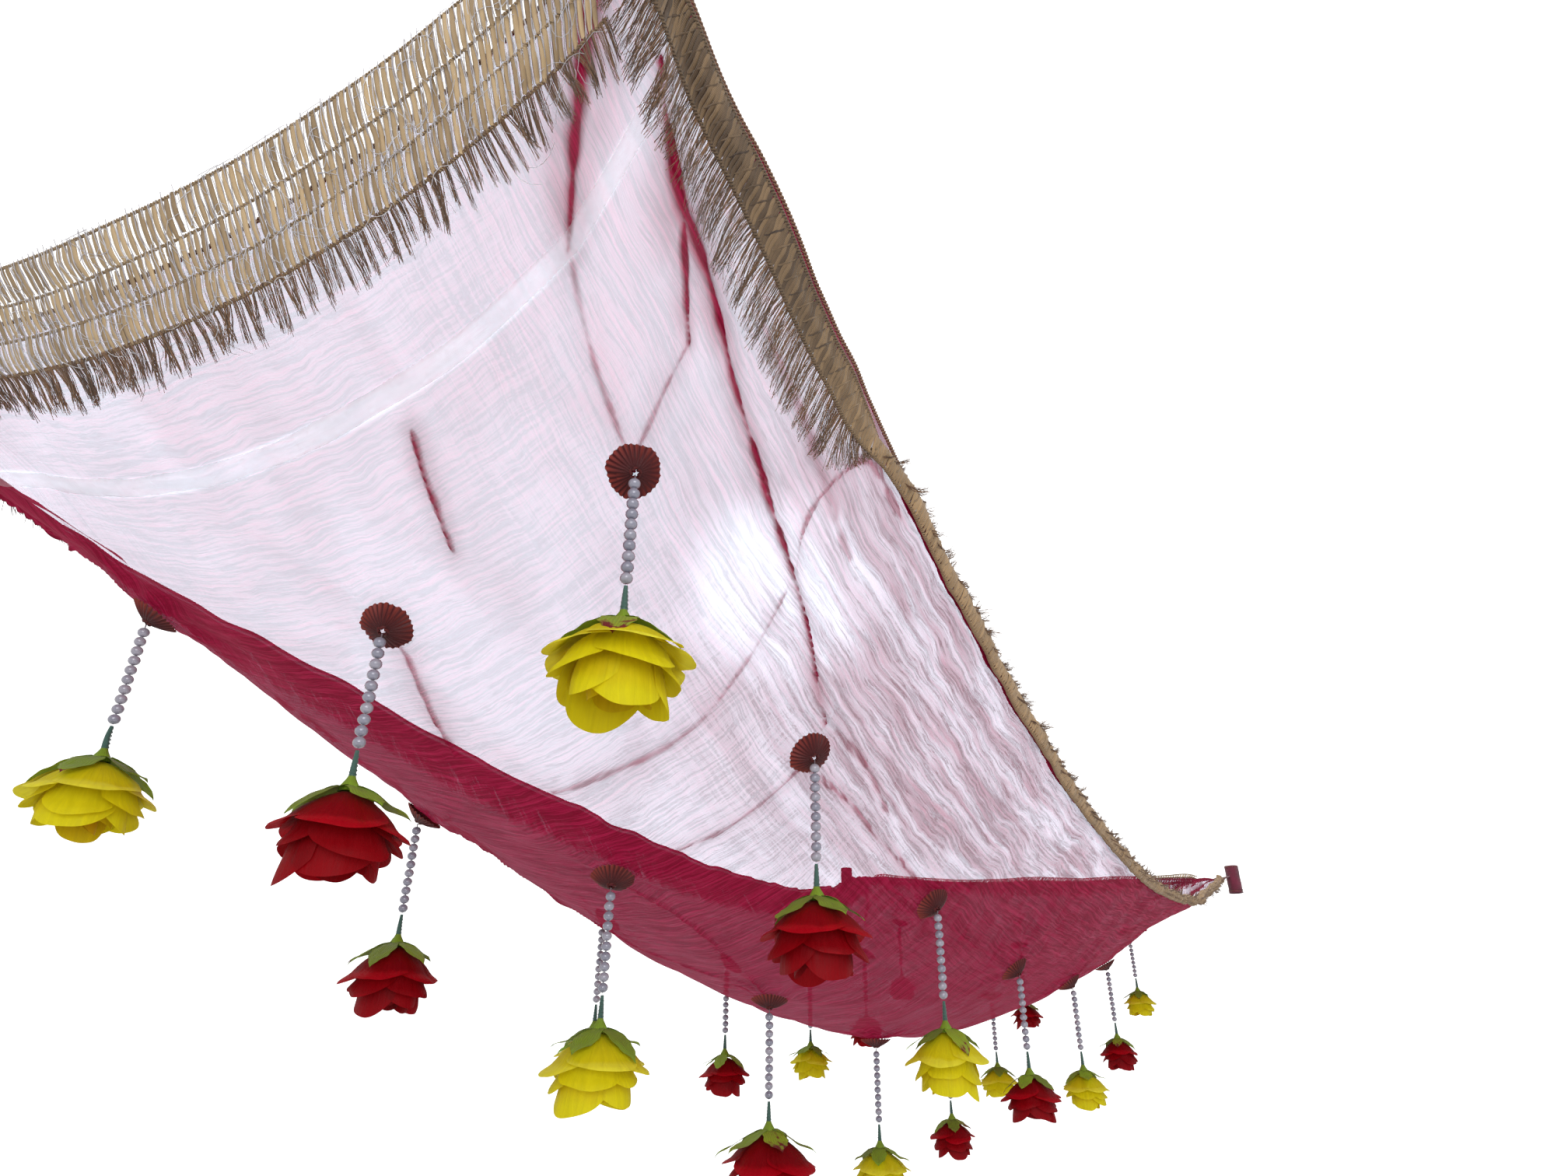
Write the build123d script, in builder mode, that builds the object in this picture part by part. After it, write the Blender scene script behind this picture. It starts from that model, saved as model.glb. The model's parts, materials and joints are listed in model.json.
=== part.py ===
# Flower canopy sheet: a sheer cloth carried by its four corners, trimmed with gold braid and fringe, with
# three rows of seven drops. Each drop is a pleated rosette, a string of pearl beads and a hanging silk rose.
# Millimetres, +Z up. The origin is the centre of the pole pocket at the near right corner. +X runs along the
# cloth's length to the far end, and +Y runs across it to the left side.
from build123d import *
import os
from math import cos, pi, radians, sin

# Cloth. Its hang is a quadratic by quadratic Bezier patch: rows of CLOTH_NET run from the near end to the
# far end, and each row runs from the right side to the left side.
CLOTH_NET = [
    [(20, 20, 0), (-10, 345, -335), (-130, 765, -125)],
    [(965, 0, -635), (915, 315, -1430), (1010, 505, -540)],
    [(2270, -60, -285), (2310, 405, -275), (2155, 860, -235)],
]
CLOTH_THICK = 1.2

# Grid of drops, as fractions of the cloth's length and width.
ROW_ACROSS = {"a": 0.203, "b": 0.477, "c": 0.800}
COLUMNS = 7
FIRST_COLUMN = 0.106
COLUMN_STEP = 0.127

# Trim, as fractions of the cloth's length or width. The end braid starts outside the cloth's edge.
SIDE_BRAID = 0.024
SIDE_FRINGE = 0.062
END_BRAID_ROWS = 3
END_BRAID = 0.0085
END_START = -0.0125
END_FRINGE = 0.015
END_INSET = 0.066
CORNER_GAP = 0.006
TRIM_THICK = 2.0
TRIM_GAP = 0.4
RIBBON_NEAR = 0.0465
RIBBON_FAR = 0.0525
RIBBON_THICK = 0.5
TRIM_SPACING = 0.0004
RIBBON_SPACING = 0.004

# Rosette on the cloth's underside, and the knot above it that holds the thread.
ROSETTE_R = 19.0
ROSETTE_NECK_R = 5.0
ROSETTE_TALL = 9.0
KNOT_R = 2.2

# Bead string. The thread hangs from an eye just under the rosette.
EYE_DROP = 1.5
BEADS = 10
BEAD_R = 3.9
BEAD_PITCH = 8.0
BEAD_HOLE_R = 0.6
FIRST_BEAD = 7.0
THREAD_R = 0.5
STRING_LENGTH = FIRST_BEAD + (BEADS - 0.5) * BEAD_PITCH

# Rose, hanging face down on a wire stem.
STEM_GAP = 0.8
STEM_R = 1.8
STEM_LENGTH = 18.0
CALYX_R = 6.0
CALYX_TALL = 9.0
OPEN_ROSE_R = 44.0
HALF_OPEN_ROSE_R = 35.0
OPEN_COLUMNS = 3
ROSE_TALL = 1.4
SEPALS = 5
SEPAL_LENGTH = 0.62
SEPAL_WIDTH = 15.0
SEPAL_THICK = 1.0
SEPAL_SLOPE = 8.0
SEPAL_LIFT = 2.0

# Petal layers: rim radius and rim depth as fractions of the rose's, and how far the layer's crown sits below
# the calyx. A petal stays flat out to its shoulder and has fallen by PETAL_FALL of its depth there.
PETAL_LAYERS = [(1.0, 0.58, 3.0), (0.84, 1.0, 6.0), (0.6, 0.95, 9.0), (0.34, 0.85, 12.0)]
PETAL_THICK = 1.0
PETAL_EYE_R = 2.0
PETAL_SHOULDER = 0.7
PETAL_FALL = 0.35

# Pole pockets at the corners: blind sleeves with the mouth facing down.
POCKET_BORE_R = 13.0
POCKET_WALL = 2.0
POCKET_DEPTH = 60.0
BORE_CUT = 30.0
POCKET_REACH = 28.3
TAB_WIDTH = 26.0
TAB_LENGTH = 50.0
TAB_INSIDE = 26.0
TAB_THICK = 3.0
TAB_LIFT = 3.3
CORNER_SHARE = 0.05
LIFT_SHARE = 0.0125


def blend3(values, s, t):
    """One control point of a quadratic Bezier's stretch from s to t."""
    first, middle, last = values
    return tuple(
        (1 - s) * (1 - t) * p + ((1 - s) * t + s * (1 - t)) * q + s * t * r
        for p, q, r in zip(first, middle, last)
    )


def cloth_point(a, b):
    """The cloth's middle surface at a fraction a of its length and b of its width."""
    return Vector(*blend3([blend3(row, b, b) for row in CLOTH_NET], a, a))


def cloth_normal(a, b):
    """The unit normal there, pointing down and out of the hanging cloth."""
    step = 0.001
    along = cloth_point(a + step, b) - cloth_point(a - step, b)
    across = cloth_point(a, b + step) - cloth_point(a, b - step)
    return across.cross(along).normalized()


def cloth_patch(length_span, width_span, below):
    """A rectangle of the cloth as a Bezier face, moved below along its normals."""
    a0, a1 = length_span
    b0, b1 = width_span
    net = []
    for s, t in ((a0, a0), (a0, a1), (a1, a1)):
        row = []
        for u, v in ((b0, b0), (b0, b1), (b1, b1)):
            point = Vector(*blend3([blend3(line, u, v) for line in CLOTH_NET], s, t))
            row.append(point + cloth_normal((s + t) / 2, (u + v) / 2) * below)
        net.append(row)
    return Face.make_bezier_surface(net)


def cloth_band(spans, below, thick):
    """Closed strips that lie on the cloth's underside, one for each pair of spans."""
    with BuildPart() as band:
        for length_span, width_span in spans:
            thicken(cloth_patch(length_span, width_span, below), amount=thick, normal_override=UPWARD)
    return band


def write(part, name):
    part.label = name
    export_step(part, f"parts/{name}.step")


os.makedirs("parts", exist_ok=True)
UNDERSIDE = CLOTH_THICK / 2
TRIM_LEVEL = UNDERSIDE + TRIM_GAP + TRIM_THICK
UPWARD = (0, 0, 1)

# The sheer cloth itself.
with BuildPart() as canopy_cloth:
    thicken(cloth_patch((0, 1), (0, 1), UNDERSIDE), amount=CLOTH_THICK, normal_override=UPWARD)
write(canopy_cloth.part, "canopy_cloth")

# Braid and fringe along the two long sides.
SIDE_SPAN = (CORNER_GAP, 1 - CORNER_GAP)
sides = {
    "right": ((0, SIDE_BRAID), (SIDE_BRAID + TRIM_SPACING, SIDE_FRINGE)),
    "left": ((1 - SIDE_BRAID, 1), (1 - SIDE_FRINGE, 1 - SIDE_BRAID - TRIM_SPACING)),
}
for side, (braid_width, fringe_width) in sides.items():
    write(cloth_band([(SIDE_SPAN, braid_width)], TRIM_LEVEL, TRIM_THICK).part, f"side_braid_{side}")
    write(cloth_band([(SIDE_SPAN, fringe_width)], TRIM_LEVEL, TRIM_THICK).part, f"side_fringe_{side}")

# Three rows of braid and one of fringe across each short end. Half of the braid overhangs the cloth's edge.
END_ROWS = [
    (END_START + row * END_BRAID + TRIM_SPACING, END_START + (row + 1) * END_BRAID - TRIM_SPACING)
    for row in range(END_BRAID_ROWS)
]
END_SPAN = (END_INSET, 1 - END_INSET)
FRINGE_START = END_START + END_BRAID_ROWS * END_BRAID
END_FRINGE_SPAN = (FRINGE_START, FRINGE_START + END_FRINGE)
ends = {
    "near": (END_ROWS, END_FRINGE_SPAN),
    "far": ([(1 - t, 1 - s) for s, t in END_ROWS], (1 - END_FRINGE_SPAN[1], 1 - END_FRINGE_SPAN[0])),
}
for end, (rows, fringe_length) in ends.items():
    write(cloth_band([(row, END_SPAN) for row in rows], TRIM_LEVEL, TRIM_THICK).part, f"end_braid_{end}")
    write(cloth_band([(fringe_length, END_SPAN)], TRIM_LEVEL, TRIM_THICK).part, f"end_fringe_{end}")

# The white ribbon sewn across the underside near the near end.
RIBBON_SPAN = (SIDE_FRINGE + RIBBON_SPACING, 1 - SIDE_FRINGE - RIBBON_SPACING)
RIBBON_LEVEL = UNDERSIDE + TRIM_GAP + RIBBON_THICK
cross_ribbon = cloth_band([((RIBBON_NEAR, RIBBON_FAR), RIBBON_SPAN)], RIBBON_LEVEL, RIBBON_THICK)
write(cross_ribbon.part, "cross_ribbon")

# Where each drop hangs: its name, and its place on the cloth.
drops = {
    f"{row}{column + 1}": (FIRST_COLUMN + column * COLUMN_STEP, across)
    for row, across in ROW_ACROSS.items()
    for column in range(COLUMNS)
}

# Pleated rosettes under the cloth, and the thread's knots on top of it.
with BuildPart() as rosettes:
    for a, b in drops.values():
        seat = Plane(cloth_point(a, b) + cloth_normal(a, b) * (UNDERSIDE + TRIM_GAP), z_dir=cloth_normal(a, b))
        with Locations(seat.location):
            Cone(ROSETTE_R, ROSETTE_NECK_R, ROSETTE_TALL, align=(Align.CENTER, Align.CENTER, Align.MIN))
write(rosettes.part, "rosettes")

with BuildPart() as thread_knots:
    for a, b in drops.values():
        with Locations(cloth_point(a, b) - cloth_normal(a, b) * (UNDERSIDE + TRIM_GAP + KNOT_R)):
            Sphere(KNOT_R)
write(thread_knots.part, "thread_knots")

# The drops. A string and its rose are drawn with the string's eye, or the rose's hook, at their top.
for name, (a, b) in drops.items():
    neck = cloth_point(a, b) + cloth_normal(a, b) * (UNDERSIDE + TRIM_GAP + ROSETTE_TALL)
    eye = neck - Vector(0, 0, EYE_DROP)
    with BuildPart() as bead_string:
        with Locations([eye - Vector(0, 0, FIRST_BEAD + n * BEAD_PITCH) for n in range(BEADS)]):
            Sphere(BEAD_R)
            Cylinder(BEAD_HOLE_R, 2 * BEAD_R, mode=Mode.SUBTRACT)
        with Locations(eye - Vector(0, 0, STRING_LENGTH / 2)):
            Cylinder(THREAD_R, STRING_LENGTH)
    write(bead_string.part, f"bead_string_{name}")

    hook = eye - Vector(0, 0, STRING_LENGTH + STEM_GAP)
    radius = OPEN_ROSE_R if int(name[1]) <= OPEN_COLUMNS else HALF_OPEN_ROSE_R
    tall = radius * ROSE_TALL
    upright = Plane(hook, x_dir=(1, 0, 0), z_dir=(0, -1, 0))
    crown = -STEM_LENGTH - CALYX_TALL
    with BuildPart() as rose:
        with BuildSketch(upright):
            with BuildLine():
                Polyline(
                    (0, 0),
                    (STEM_R, 0),
                    (STEM_R, -STEM_LENGTH),
                    (CALYX_R, crown),
                    (0, crown),
                    close=True,
                )
            make_face()
        revolve(axis=Axis(hook, (0, 0, 1)))
        for sepal in range(SEPALS):
            turn = 2 * pi * sepal / SEPALS
            slope = radians(SEPAL_SLOPE)
            lie = Plane(
                hook + Vector(0, 0, crown + SEPAL_LIFT),
                x_dir=(cos(slope) * cos(turn), cos(slope) * sin(turn), -sin(slope)),
                z_dir=(sin(slope) * cos(turn), sin(slope) * sin(turn), cos(slope)),
            )
            with BuildSketch(lie):
                with Locations((radius * SEPAL_LENGTH / 2, 0)):
                    Ellipse(radius * SEPAL_LENGTH / 2, SEPAL_WIDTH / 2)
            extrude(amount=SEPAL_THICK)
        for reach, low, flat in PETAL_LAYERS:
            with BuildSketch(upright):
                with BuildLine():
                    Bezier(
                        (PETAL_EYE_R, crown - flat),
                        (reach * radius * PETAL_SHOULDER, crown - flat),
                        (reach * radius, crown - flat - low * tall * PETAL_FALL),
                        (reach * radius, crown - low * tall),
                    )
                trace(line_width=PETAL_THICK)
            revolve(axis=Axis(hook, (0, 0, 1)))
    write(rose.part, f"rose_{name}")

# Pole pockets: a blind sleeve beside each corner, and the tab that sews it to the cloth.
corners = {
    "near_right": (0, 0),
    "near_left": (0, 1),
    "far_right": (1, 0),
    "far_left": (1, 1),
}
for corner, (a, b) in corners.items():
    point = cloth_point(a, b)
    outward = Vector(2 * a - 1, 2 * b - 1, 0).normalized()
    slope = cloth_point(a + CORNER_SHARE * (1 - 2 * a), b + CORNER_SHARE * (1 - 2 * b)) - point
    lift = cloth_normal(a + LIFT_SHARE * (1 - 2 * a), b + LIFT_SHARE * (1 - 2 * b)) * -TAB_LIFT
    tab_plane = Plane(point + lift, x_dir=slope, z_dir=lift)
    axis_plane = Plane(point + outward * POCKET_REACH)
    with BuildPart() as pocket:
        with BuildSketch(axis_plane.offset(-POCKET_DEPTH / 2)):
            Circle(POCKET_BORE_R + POCKET_WALL)
        extrude(amount=POCKET_DEPTH + POCKET_WALL)
        with BuildSketch(tab_plane.offset(-TAB_THICK / 2)):
            with Locations((TAB_INSIDE - TAB_LENGTH / 2, 0)):
                Rectangle(TAB_LENGTH, TAB_WIDTH)
        extrude(amount=TAB_THICK)
        with BuildSketch(axis_plane.offset(-POCKET_DEPTH / 2 - BORE_CUT)):
            Circle(POCKET_BORE_R)
        extrude(amount=POCKET_DEPTH + BORE_CUT, mode=Mode.SUBTRACT)
    write(pocket.part, f"pole_pocket_{corner}")
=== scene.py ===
"""Looks of the floral canopy sheet: a sheer crinkled cloth hung by its corners, with gold lace, pearl strings
and silk roses."""

import json
import math

import bpy
import numpy as np
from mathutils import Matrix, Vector


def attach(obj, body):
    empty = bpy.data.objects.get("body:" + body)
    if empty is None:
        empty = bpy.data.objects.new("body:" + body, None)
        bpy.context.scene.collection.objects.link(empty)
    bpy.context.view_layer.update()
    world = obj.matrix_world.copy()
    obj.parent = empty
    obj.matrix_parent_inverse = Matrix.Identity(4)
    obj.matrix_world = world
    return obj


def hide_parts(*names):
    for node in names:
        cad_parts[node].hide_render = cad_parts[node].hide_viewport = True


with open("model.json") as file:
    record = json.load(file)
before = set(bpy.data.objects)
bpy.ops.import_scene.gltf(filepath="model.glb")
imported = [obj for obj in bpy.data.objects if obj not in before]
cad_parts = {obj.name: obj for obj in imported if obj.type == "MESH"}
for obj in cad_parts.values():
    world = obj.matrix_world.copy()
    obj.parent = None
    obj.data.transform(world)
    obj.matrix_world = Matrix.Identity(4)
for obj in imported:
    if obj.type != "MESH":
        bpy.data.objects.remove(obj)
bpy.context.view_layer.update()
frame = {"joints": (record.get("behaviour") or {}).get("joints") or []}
MM = 0.001
TAU = 2 * math.pi

# The cloth's hang: a quadratic by quadratic Bezier net, as in the CAD model, in metres. A least-squares fit to
# places read off the photo gave its numbers, the grid of drops, and the camera's place, pitch and lens.
CLOTH_NET = MM * np.array([
    [(20, 20, 0), (-10, 345, -335), (-130, 765, -125)],
    [(965, 0, -635), (915, 315, -1430), (1010, 505, -540)],
    [(2270, -60, -285), (2310, 405, -275), (2155, 860, -235)],
], float)
CLOTH_LENGTH, CLOTH_WIDTH = 2.5, 0.9
ROWS = {"a": 0.203, "b": 0.477, "c": 0.800}
COLUMNS, FIRST_COLUMN, COLUMN_STEP = 7, 0.106, 0.127
UNDERSIDE = 0.6 * MM
CORNERS = {"near_right": (0, 0), "near_left": (0, 1), "far_right": (1, 0), "far_left": (1, 1)}
DROPS = {
    f"{row}{column + 1}": (FIRST_COLUMN + column * COLUMN_STEP, across)
    for row, across in ROWS.items()
    for column in range(COLUMNS)
}

# Trim, as shares of the cloth's length or width: the gap at the ends of the side trim, the rows of lace from
# END_START inwards, END_INSET in from both sides, and how far in from the edge the braid starts and stops.
CORNER_GAP = 0.006
END_BRAID_ROWS, END_BRAID, END_START, END_INSET = 3, 0.0085, -0.0125, 0.066
BRAID_SPAN = (0.0068, 0.0292)
# The ribbon's route as (share of the width, share of the length), and half its width as a share of the length.
# The route was projected back from places in the photo by a scratch script.
RIBBON_ROUTE, RIBBON_HALF = ((0.06, 0.037), (0.16, 0.0475), (0.27, 0.050), (0.9, 0.050)), 0.003
# The right side's trim rolls into a rope of this radius between these shares of the length, at this share of
# the width.
ROPE_R, ROPE_START, ROPE_END, ROPE_EDGE = 6 * MM, 0.145, 0.2, 0.0072

# Drop sizes, as in the CAD model.
STEM, CALYX, STEM_GAP = 18 * MM, 9 * MM, 0.8 * MM
OPEN_ROSE, HALF_OPEN_ROSE, OPEN_COLUMNS = 44 * MM, 35 * MM, 3
ROSE_TALL = 1.4
BEADS, BEAD_R, BEAD_PITCH, FIRST_BEAD, BEAD_SPREAD = 10, 3.9 * MM, 8 * MM, 7 * MM, 1.1
THREAD_R = 0.5 * MM
STRING_LENGTH = FIRST_BEAD + (BEADS - 0.5) * BEAD_PITCH

FINE = 1


# ---------------------------------------------------------------- camera, light and floor

CAMERA_PLACE, CAMERA_TURN, CAMERA_PITCH = (-0.213, -0.194, -0.614), math.radians(28.0), math.radians(26.03)
CAMERA_LENS, CAMERA_SENSOR, CAMERA_NEAREST = 20.93, 36.0, 0.01
# The sky's strength as a light, seen bare, and seen through the cloth, then the sun's glow and how wide it is.
SKY_LIGHT, SKY_BARE, SKY_SEEN, GLOW, GLOW_REACH = 0.75, 1.5, 17.5, 27.0, math.radians(7.5)
MIDDLE = (1.0, 0.4, -0.5)
# Name, place, size in metres and power in watts.
LAMPS = [
    ("top_light", (1.4, 0.8, 2.6), 3.0, 60),
    ("front_light", (-1.6, -1.4, -0.2), 1.6, 34),
    ("low_light", (0.8, 0.2, -2.2), 3.0, 14),
]
FLOOR_MIDDLE, FLOOR_DROP, FLOOR_REACH = (1.1, 0.4), 2.1, 8


def add_node(tree, kind, inputs=None, **settings):
    """A shader node, with its inputs linked where they are sockets and set where they are values."""
    node = tree.nodes.new("ShaderNode" + kind)
    for key, value in settings.items():
        setattr(node, key, value)
    for key, value in (inputs or {}).items():
        put(tree, node.inputs[key], value)
    return node


def put(tree, socket, value):
    if isinstance(value, bpy.types.NodeSocket):
        tree.links.new(value, socket)
    elif socket.type == "RGBA" and len(value) == 3:
        socket.default_value = (*value, 1)
    else:
        socket.default_value = value


def make_camera():
    data = bpy.data.cameras.new("camera")
    data.lens, data.sensor_width = CAMERA_LENS, CAMERA_SENSOR
    data.clip_start = CAMERA_NEAREST
    camera = bpy.data.objects.new("camera", data)
    bpy.context.scene.collection.objects.link(camera)
    camera.location = CAMERA_PLACE
    camera.rotation_euler = looking().to_track_quat("-Z", "Y").to_euler()
    bpy.context.scene.camera = camera


def make_world():
    """A bright plain sky, with the sun's glow in it where it shines through the sheer cloth. It lights the
    object more softly than the camera sees it."""
    world = bpy.data.worlds.new("sky")
    bpy.context.scene.world = world
    world.use_nodes = True
    tree = world.node_tree
    tree.nodes["Background"].inputs["Color"].default_value = (1, 1, 1, 1)
    place = add_node(tree, "TexCoord").outputs["Generated"]
    towards = add_node(tree, "VectorMath", {0: place, 1: tuple(looking())}, operation="DOT_PRODUCT")
    spread = {"Value": towards.outputs["Value"], "From Min": math.cos(GLOW_REACH), "From Max": 1.0,
              "To Min": SKY_SEEN, "To Max": GLOW}
    glow = add_node(tree, "MapRange", spread, interpolation_type="SMOOTHERSTEP")
    path = add_node(tree, "LightPath").outputs
    bare = add_node(tree, "Math", {0: path["Transparent Depth"], 1: 0.5}, operation="LESS_THAN").outputs[0]
    seen = add_node(tree, "Mix", {0: bare, 2: glow.outputs["Result"], 3: SKY_BARE}).outputs[0]
    strength = add_node(tree, "Mix", {0: path["Is Camera Ray"], 2: SKY_LIGHT, 3: seen}).outputs[0]
    tree.links.new(strength, tree.nodes["Background"].inputs["Strength"])
    bpy.context.scene.view_settings.view_transform = "Standard"


def looking():
    """The photographer's line of sight."""
    flat = math.cos(CAMERA_PITCH)
    return Vector((math.cos(CAMERA_TURN) * flat, math.sin(CAMERA_TURN) * flat, math.sin(CAMERA_PITCH)))


def add_area(name, place, size, power):
    data = bpy.data.lights.new(name, "AREA")
    data.size, data.energy = size, power
    lamp = bpy.data.objects.new(name, data)
    bpy.context.scene.collection.objects.link(lamp)
    lamp.location = place
    lamp.rotation_euler = (Vector(MIDDLE) - Vector(place)).to_track_quat("-Z", "Y").to_euler()


def make_lights_and_floor():
    for lamp in LAMPS:
        add_area(*lamp)
    (x, y), reach = FLOOR_MIDDLE, FLOOR_REACH
    points = [(x + p * reach, y + q * reach, -FLOOR_DROP) for p in (-1, 1) for q in (-1, 1)]
    floor = mesh_object("floor", points, grid_faces(2, 2))
    floor.data.materials.append(make_floor_material())


# ---------------------------------------------------------------- mesh and curve helpers

def mesh_object(name, points, faces, smooth=True, attributes=None, material_index=None):
    mesh = bpy.data.meshes.new(name)
    points = np.asarray(points, np.float32)
    mesh.vertices.add(len(points))
    mesh.vertices.foreach_set("co", points.ravel())
    faces = np.asarray(faces, np.int32)
    mesh.loops.add(faces.size)
    mesh.loops.foreach_set("vertex_index", faces.ravel())
    mesh.polygons.add(len(faces))
    sides = faces.shape[1]
    mesh.polygons.foreach_set("loop_start", np.arange(0, faces.size, sides, dtype=np.int32))
    mesh.polygons.foreach_set("loop_total", np.full(len(faces), sides, np.int32))
    if material_index is not None:
        mesh.polygons.foreach_set("material_index", np.asarray(material_index, np.int32))
    mesh.update(calc_edges=True)
    mesh.validate()
    mesh.polygons.foreach_set("use_smooth", np.full(len(mesh.polygons), smooth))
    for key, values in (attributes or {}).items():
        values = np.asarray(values, np.float32)
        kind = "FLOAT" if values.ndim == 1 else "FLOAT_VECTOR"
        layer = mesh.attributes.new(key, kind, "POINT")
        layer.data.foreach_set("value" if values.ndim == 1 else "vector", values.ravel())
    piece = bpy.data.objects.new(name, mesh)
    bpy.context.scene.collection.objects.link(piece)
    return piece


def grid_faces(rows, columns, start=0, wrap=False):
    """Quads of a rows by columns grid of points."""
    i, j = np.meshgrid(np.arange(rows - 1), np.arange(columns if wrap else columns - 1), indexing="ij")
    near, far = j, (j + 1) % columns
    corners = [(i + row) * columns + side for row, side in ((0, near), (1, near), (1, far), (0, far))]
    return np.stack(corners, -1).reshape(-1, 4) + start


def unit(vectors):
    return vectors / (np.linalg.norm(vectors, axis=-1, keepdims=True) + 1e-12)


def full_turn(count):
    """Evenly spaced angles once round, without the last."""
    return np.linspace(0, TAU, count, endpoint=False)


def points_of(x, y, z):
    return np.stack(np.broadcast_arrays(x, y, z), -1)


def around(radius, angle, height):
    """Points at a radius, an angle and a height about the vertical."""
    return points_of(radius * np.cos(angle), radius * np.sin(angle), height)


class Pile:
    """Gathers many small grids of points into one mesh. Each grid takes a tone, with painted shade on some
    parts, and a place for its texture.
    """

    def __init__(self):
        self.points, self.faces, self.slots, self.tones, self.flats, self.count = [], [], [], [], [], 0

    def add(self, points, tones=0.0, scale=(1, 1, 1), wrap=False, caps=False, slot=0):
        """points has shape (grids, rows, columns, 3). tones is one number, or has shape (grids, ...)."""
        grids, rows, columns = points.shape[:3]
        faces = grid_faces(rows, columns, 0, wrap)
        if caps:
            for ring in (np.arange(columns)[::-1], (rows - 1) * columns + np.arange(columns)):
                middle = range(1, columns - 1, 2)
                lids = [[ring[0], ring[k], ring[k + 1], ring[min(k + 2, columns - 1)]] for k in middle]
                faces = np.concatenate([faces, lids])
        starts = (np.arange(grids) * rows * columns)[:, None, None]
        every = (faces[None] + starts).reshape(-1, 4) + self.count
        tones = np.asarray(tones, float)
        tones = tones.reshape(tones.shape + (1,) * (3 - tones.ndim))
        u = np.linspace(0, 1, columns, endpoint=not wrap)[None, None, :]
        v = np.linspace(0, 1, rows)[None, :, None]
        w = 0.37 * np.arange(grids)[:, None, None]
        places = [np.broadcast_to(value, points.shape[:3]) * size for value, size in zip((u, v, w), scale)]
        self.points.append(points.reshape(-1, 3))
        self.faces.append(every)
        self.slots.append(np.full(len(every), slot))
        self.tones.append(np.broadcast_to(tones, points.shape[:3]).ravel())
        self.flats.append(np.stack(places, -1).reshape(-1, 3))
        self.count += grids * rows * columns

    def make(self, name, smooth=True):
        return mesh_object(name, np.concatenate(self.points), np.concatenate(self.faces), smooth,
                           {"tone": np.concatenate(self.tones), "flat": np.concatenate(self.flats)},
                           np.concatenate(self.slots))


def sweep(lines, facing, width, thickness, sides, size):
    """Rings round lines of shape (lines, points, 3), their flat side turned to facing. size is each point's
    share of the width and thickness. Returns (lines, points, sides, 3)."""
    along = unit(np.gradient(lines, axis=1))
    side = unit(np.cross(along, facing))
    up = np.cross(side, along)
    turn = full_turn(sides)[:, None]
    ring = side[:, :, None] * np.cos(turn) * width + up[:, :, None] * np.sin(turn) * thickness
    return lines[:, :, None] + ring * size[:, None, None]


def tubes(lines, radius, sides=4, taper=1.0):
    """Round tubes along lines, which narrow or widen to taper at their ends."""
    lines = np.asarray(lines, float)
    along = unit(np.gradient(lines, axis=1))
    facing = np.where(np.abs(along[..., 2:3]) < 0.9, np.array([0, 0, 1.0]), np.array([1.0, 0, 0]))
    return sweep(lines, facing, radius, radius, sides, np.linspace(1, taper, lines.shape[1]))


def straps(lines, normals, half_width, half_thick, sides=8, ends=0.35):
    """Flat straps with rounded edges along lines. They narrow to a share of their width at both ends."""
    t = np.linspace(-1, 1, lines.shape[1])
    return sweep(lines, normals, half_width, half_thick, sides, 1 - (1 - ends) * np.abs(t) ** 6)


def finish_piece(piece, body, nodes, materials):
    for material in materials:
        piece.data.materials.append(material)
    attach(piece, body)
    if nodes:
        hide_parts(*nodes)
    return piece


# ---------------------------------------------------------------- seeded smooth noise

NOISE_CELLS = 512
NOISE_TABLE = np.random.default_rng(7).uniform(-1, 1, (NOISE_CELLS, NOISE_CELLS))


def noise(x, y, seed=0):
    """Smooth value noise from -1 to 1, one lattice cell per unit."""
    x, y = np.asarray(x, float) + 17.3 * seed, np.asarray(y, float) + 9.1 * seed
    i, j = np.floor(x).astype(int), np.floor(y).astype(int)
    u, v = x - i, y - j
    u, v = u * u * (3 - 2 * u), v * v * (3 - 2 * v)
    near, far = (NOISE_TABLE[i % NOISE_CELLS, (j + k) % NOISE_CELLS] * (1 - u)
                 + NOISE_TABLE[(i + 1) % NOISE_CELLS, (j + k) % NOISE_CELLS] * u for k in (0, 1))
    return near * (1 - v) + far * v


# ---------------------------------------------------------------- the cloth's surface

def bernstein(t):
    t = np.asarray(t, float)[..., None]
    return np.concatenate([(1 - t) ** 2, 2 * t * (1 - t), t ** 2], -1)


def slopes(t):
    t = np.asarray(t, float)[..., None]
    return np.concatenate([2 * t - 2, 2 - 4 * t, 2 * t], -1)


def cloth_base(a, b):
    """The smooth cloth at a share a of its length and b of its width."""
    return np.einsum("...i,...j,ijk->...k", bernstein(a), bernstein(b), CLOTH_NET)


def cloth_normal(a, b):
    """The way out of the cloth's underside."""
    along = np.einsum("...i,...j,ijk->...k", slopes(a), bernstein(b), CLOTH_NET)
    across = np.einsum("...i,...j,ijk->...k", bernstein(a), slopes(b), CLOTH_NET)
    return unit(np.cross(across, along))
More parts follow.
